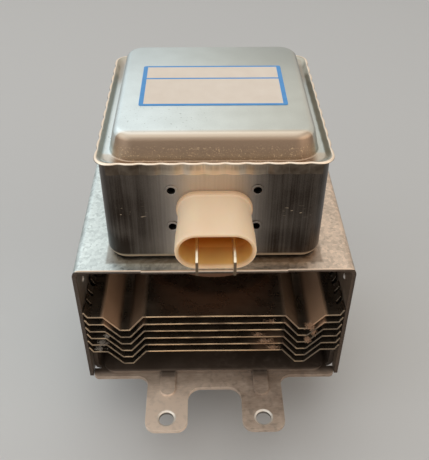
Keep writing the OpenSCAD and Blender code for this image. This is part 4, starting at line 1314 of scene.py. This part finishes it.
# %% Plain finishes
PLAIN_FINISHES = [
    ("ferrite", "sintered_ferrite", (84, 58, 42), (136, 96, 70), 2.5, 0.66, 0.0, 0.05),
    ("copper", "bare_copper", (150, 92, 64), (206, 138, 102), 4, 0.28, 1.0, 0.02),
    ("tube_steel", "plated_tube_steel", (138, 134, 126), (206, 203, 196), 4, 0.30, 1.0, 0.02),
    ("ceramic", "fired_ceramic", (206, 176, 162), (236, 214, 202), 3, 0.55, 0.0, 0.02),
    ("tungsten", "drawn_tungsten", (78, 78, 80), (128, 128, 132), 2, 0.42, 1.0, 0.02),
    ("gasket_mesh", "knitted_mesh", (96, 92, 86), (196, 190, 180), 1.2, 0.38, 1.0, 0.25),
    ("dark_plastic", "dark_moulding", (62, 54, 46), (96, 84, 72), 5, 0.5, 0.0, 0.02),
]

for slot, name, dark, light, size, roughness, metallic, depth in PLAIN_FINISHES:
    material, shader, place = new_finish(name, Metallic=metallic)
    blotch = place.noise(size, 3)
    grain = place.noise(size / 8, 2)
    tone = 0.7 * blotch + 0.5 * grain - 0.1
    feed(
        shader,
        Base_Color=tone.blend(paint(*dark), paint(*light)),
        Roughness=roughness - 0.06 + 0.16 * blotch,
        Normal=(blotch + 0.6 * grain).bump(depth, 0.3),
    )
    keep_finish(slot, material)

# %% [markdown]
# Tinned tabs and lint
#
# The connector's tabs are tinned brass, drawn along their length, and their cut ends have no tin and are
# dark. Lint is matt wool, rusty tan on the right and grey on the left.

# %% Tab and lint finishes
TAB_END_Y = -62.6
GREY_LINT_X = -20

material, shader, place = new_finish("tinned_brass", Metallic=1.0)
_, y, _ = axes_of(place)
drawn = place.noise(2.5, 3, (1, 8, 1))
tin = drawn.blend(paint(176, 158, 130), paint(242, 230, 208))
cut_end = (TAB_END_Y - y).ramp(0, 0.12)
feed(
    shader,
    Base_Color=(0.85 * cut_end).blend(tin, paint(92, 70, 50)),
    Roughness=0.18 + 0.16 * drawn + 0.2 * cut_end,
    Normal=drawn.bump(0.02, 0.3),
)
keep_finish("tinned_blade", material)

lint_wool, shader, place = new_finish("lint_wool", Roughness=1.0, Sheen_Weight=0.4)
x, _, _ = axes_of(place)
grey = (GREY_LINT_X - x).ramp(0, 4)
wool = place.noise(1.6, 3).blend(paint(150, 110, 80), paint(204, 160, 122))
feed(shader, Base_Color=grey.blend(wool, paint(158, 146, 132)))
print("lint gets", lint_wool.name)

# %% [markdown]
# Putting the finishes on
#
# Every CAD node that still shows and every new piece gets the finish of its slot in the record. Lint has
# its own.

# %% Assign finishes
for node, piece in frame["nodes"].items():
    piece.data.materials.clear()
    piece.data.materials.append(finishes[slot_of(node)])
for node, piece in dressed.items():
    piece.data.materials.append(finishes[slot_of(node)])
lid.data.materials.append(finishes["lid_steel"])
connector.data.materials.append(finishes["connector_plastic"])
dimples.data.materials.append(finishes["galvanised_yoke"])
for piece in (lint_right, lint_middle, lint_left):
    piece.data.materials.clear()
    piece.data.materials.append(lint_wool)
print(len(finishes) + 1, "finishes on", len(frame["nodes"]), "CAD nodes and", len(dressed), "dressed copies")

# %% [markdown]
# The dressed part has to stay in the CAD model's box.
#
# The low and high corners of the CAD model's box, in millimetres.

# %% CAD box
print("CAD box", [round(v / MM, 2) for v in (*cad_low, *cad_high)])
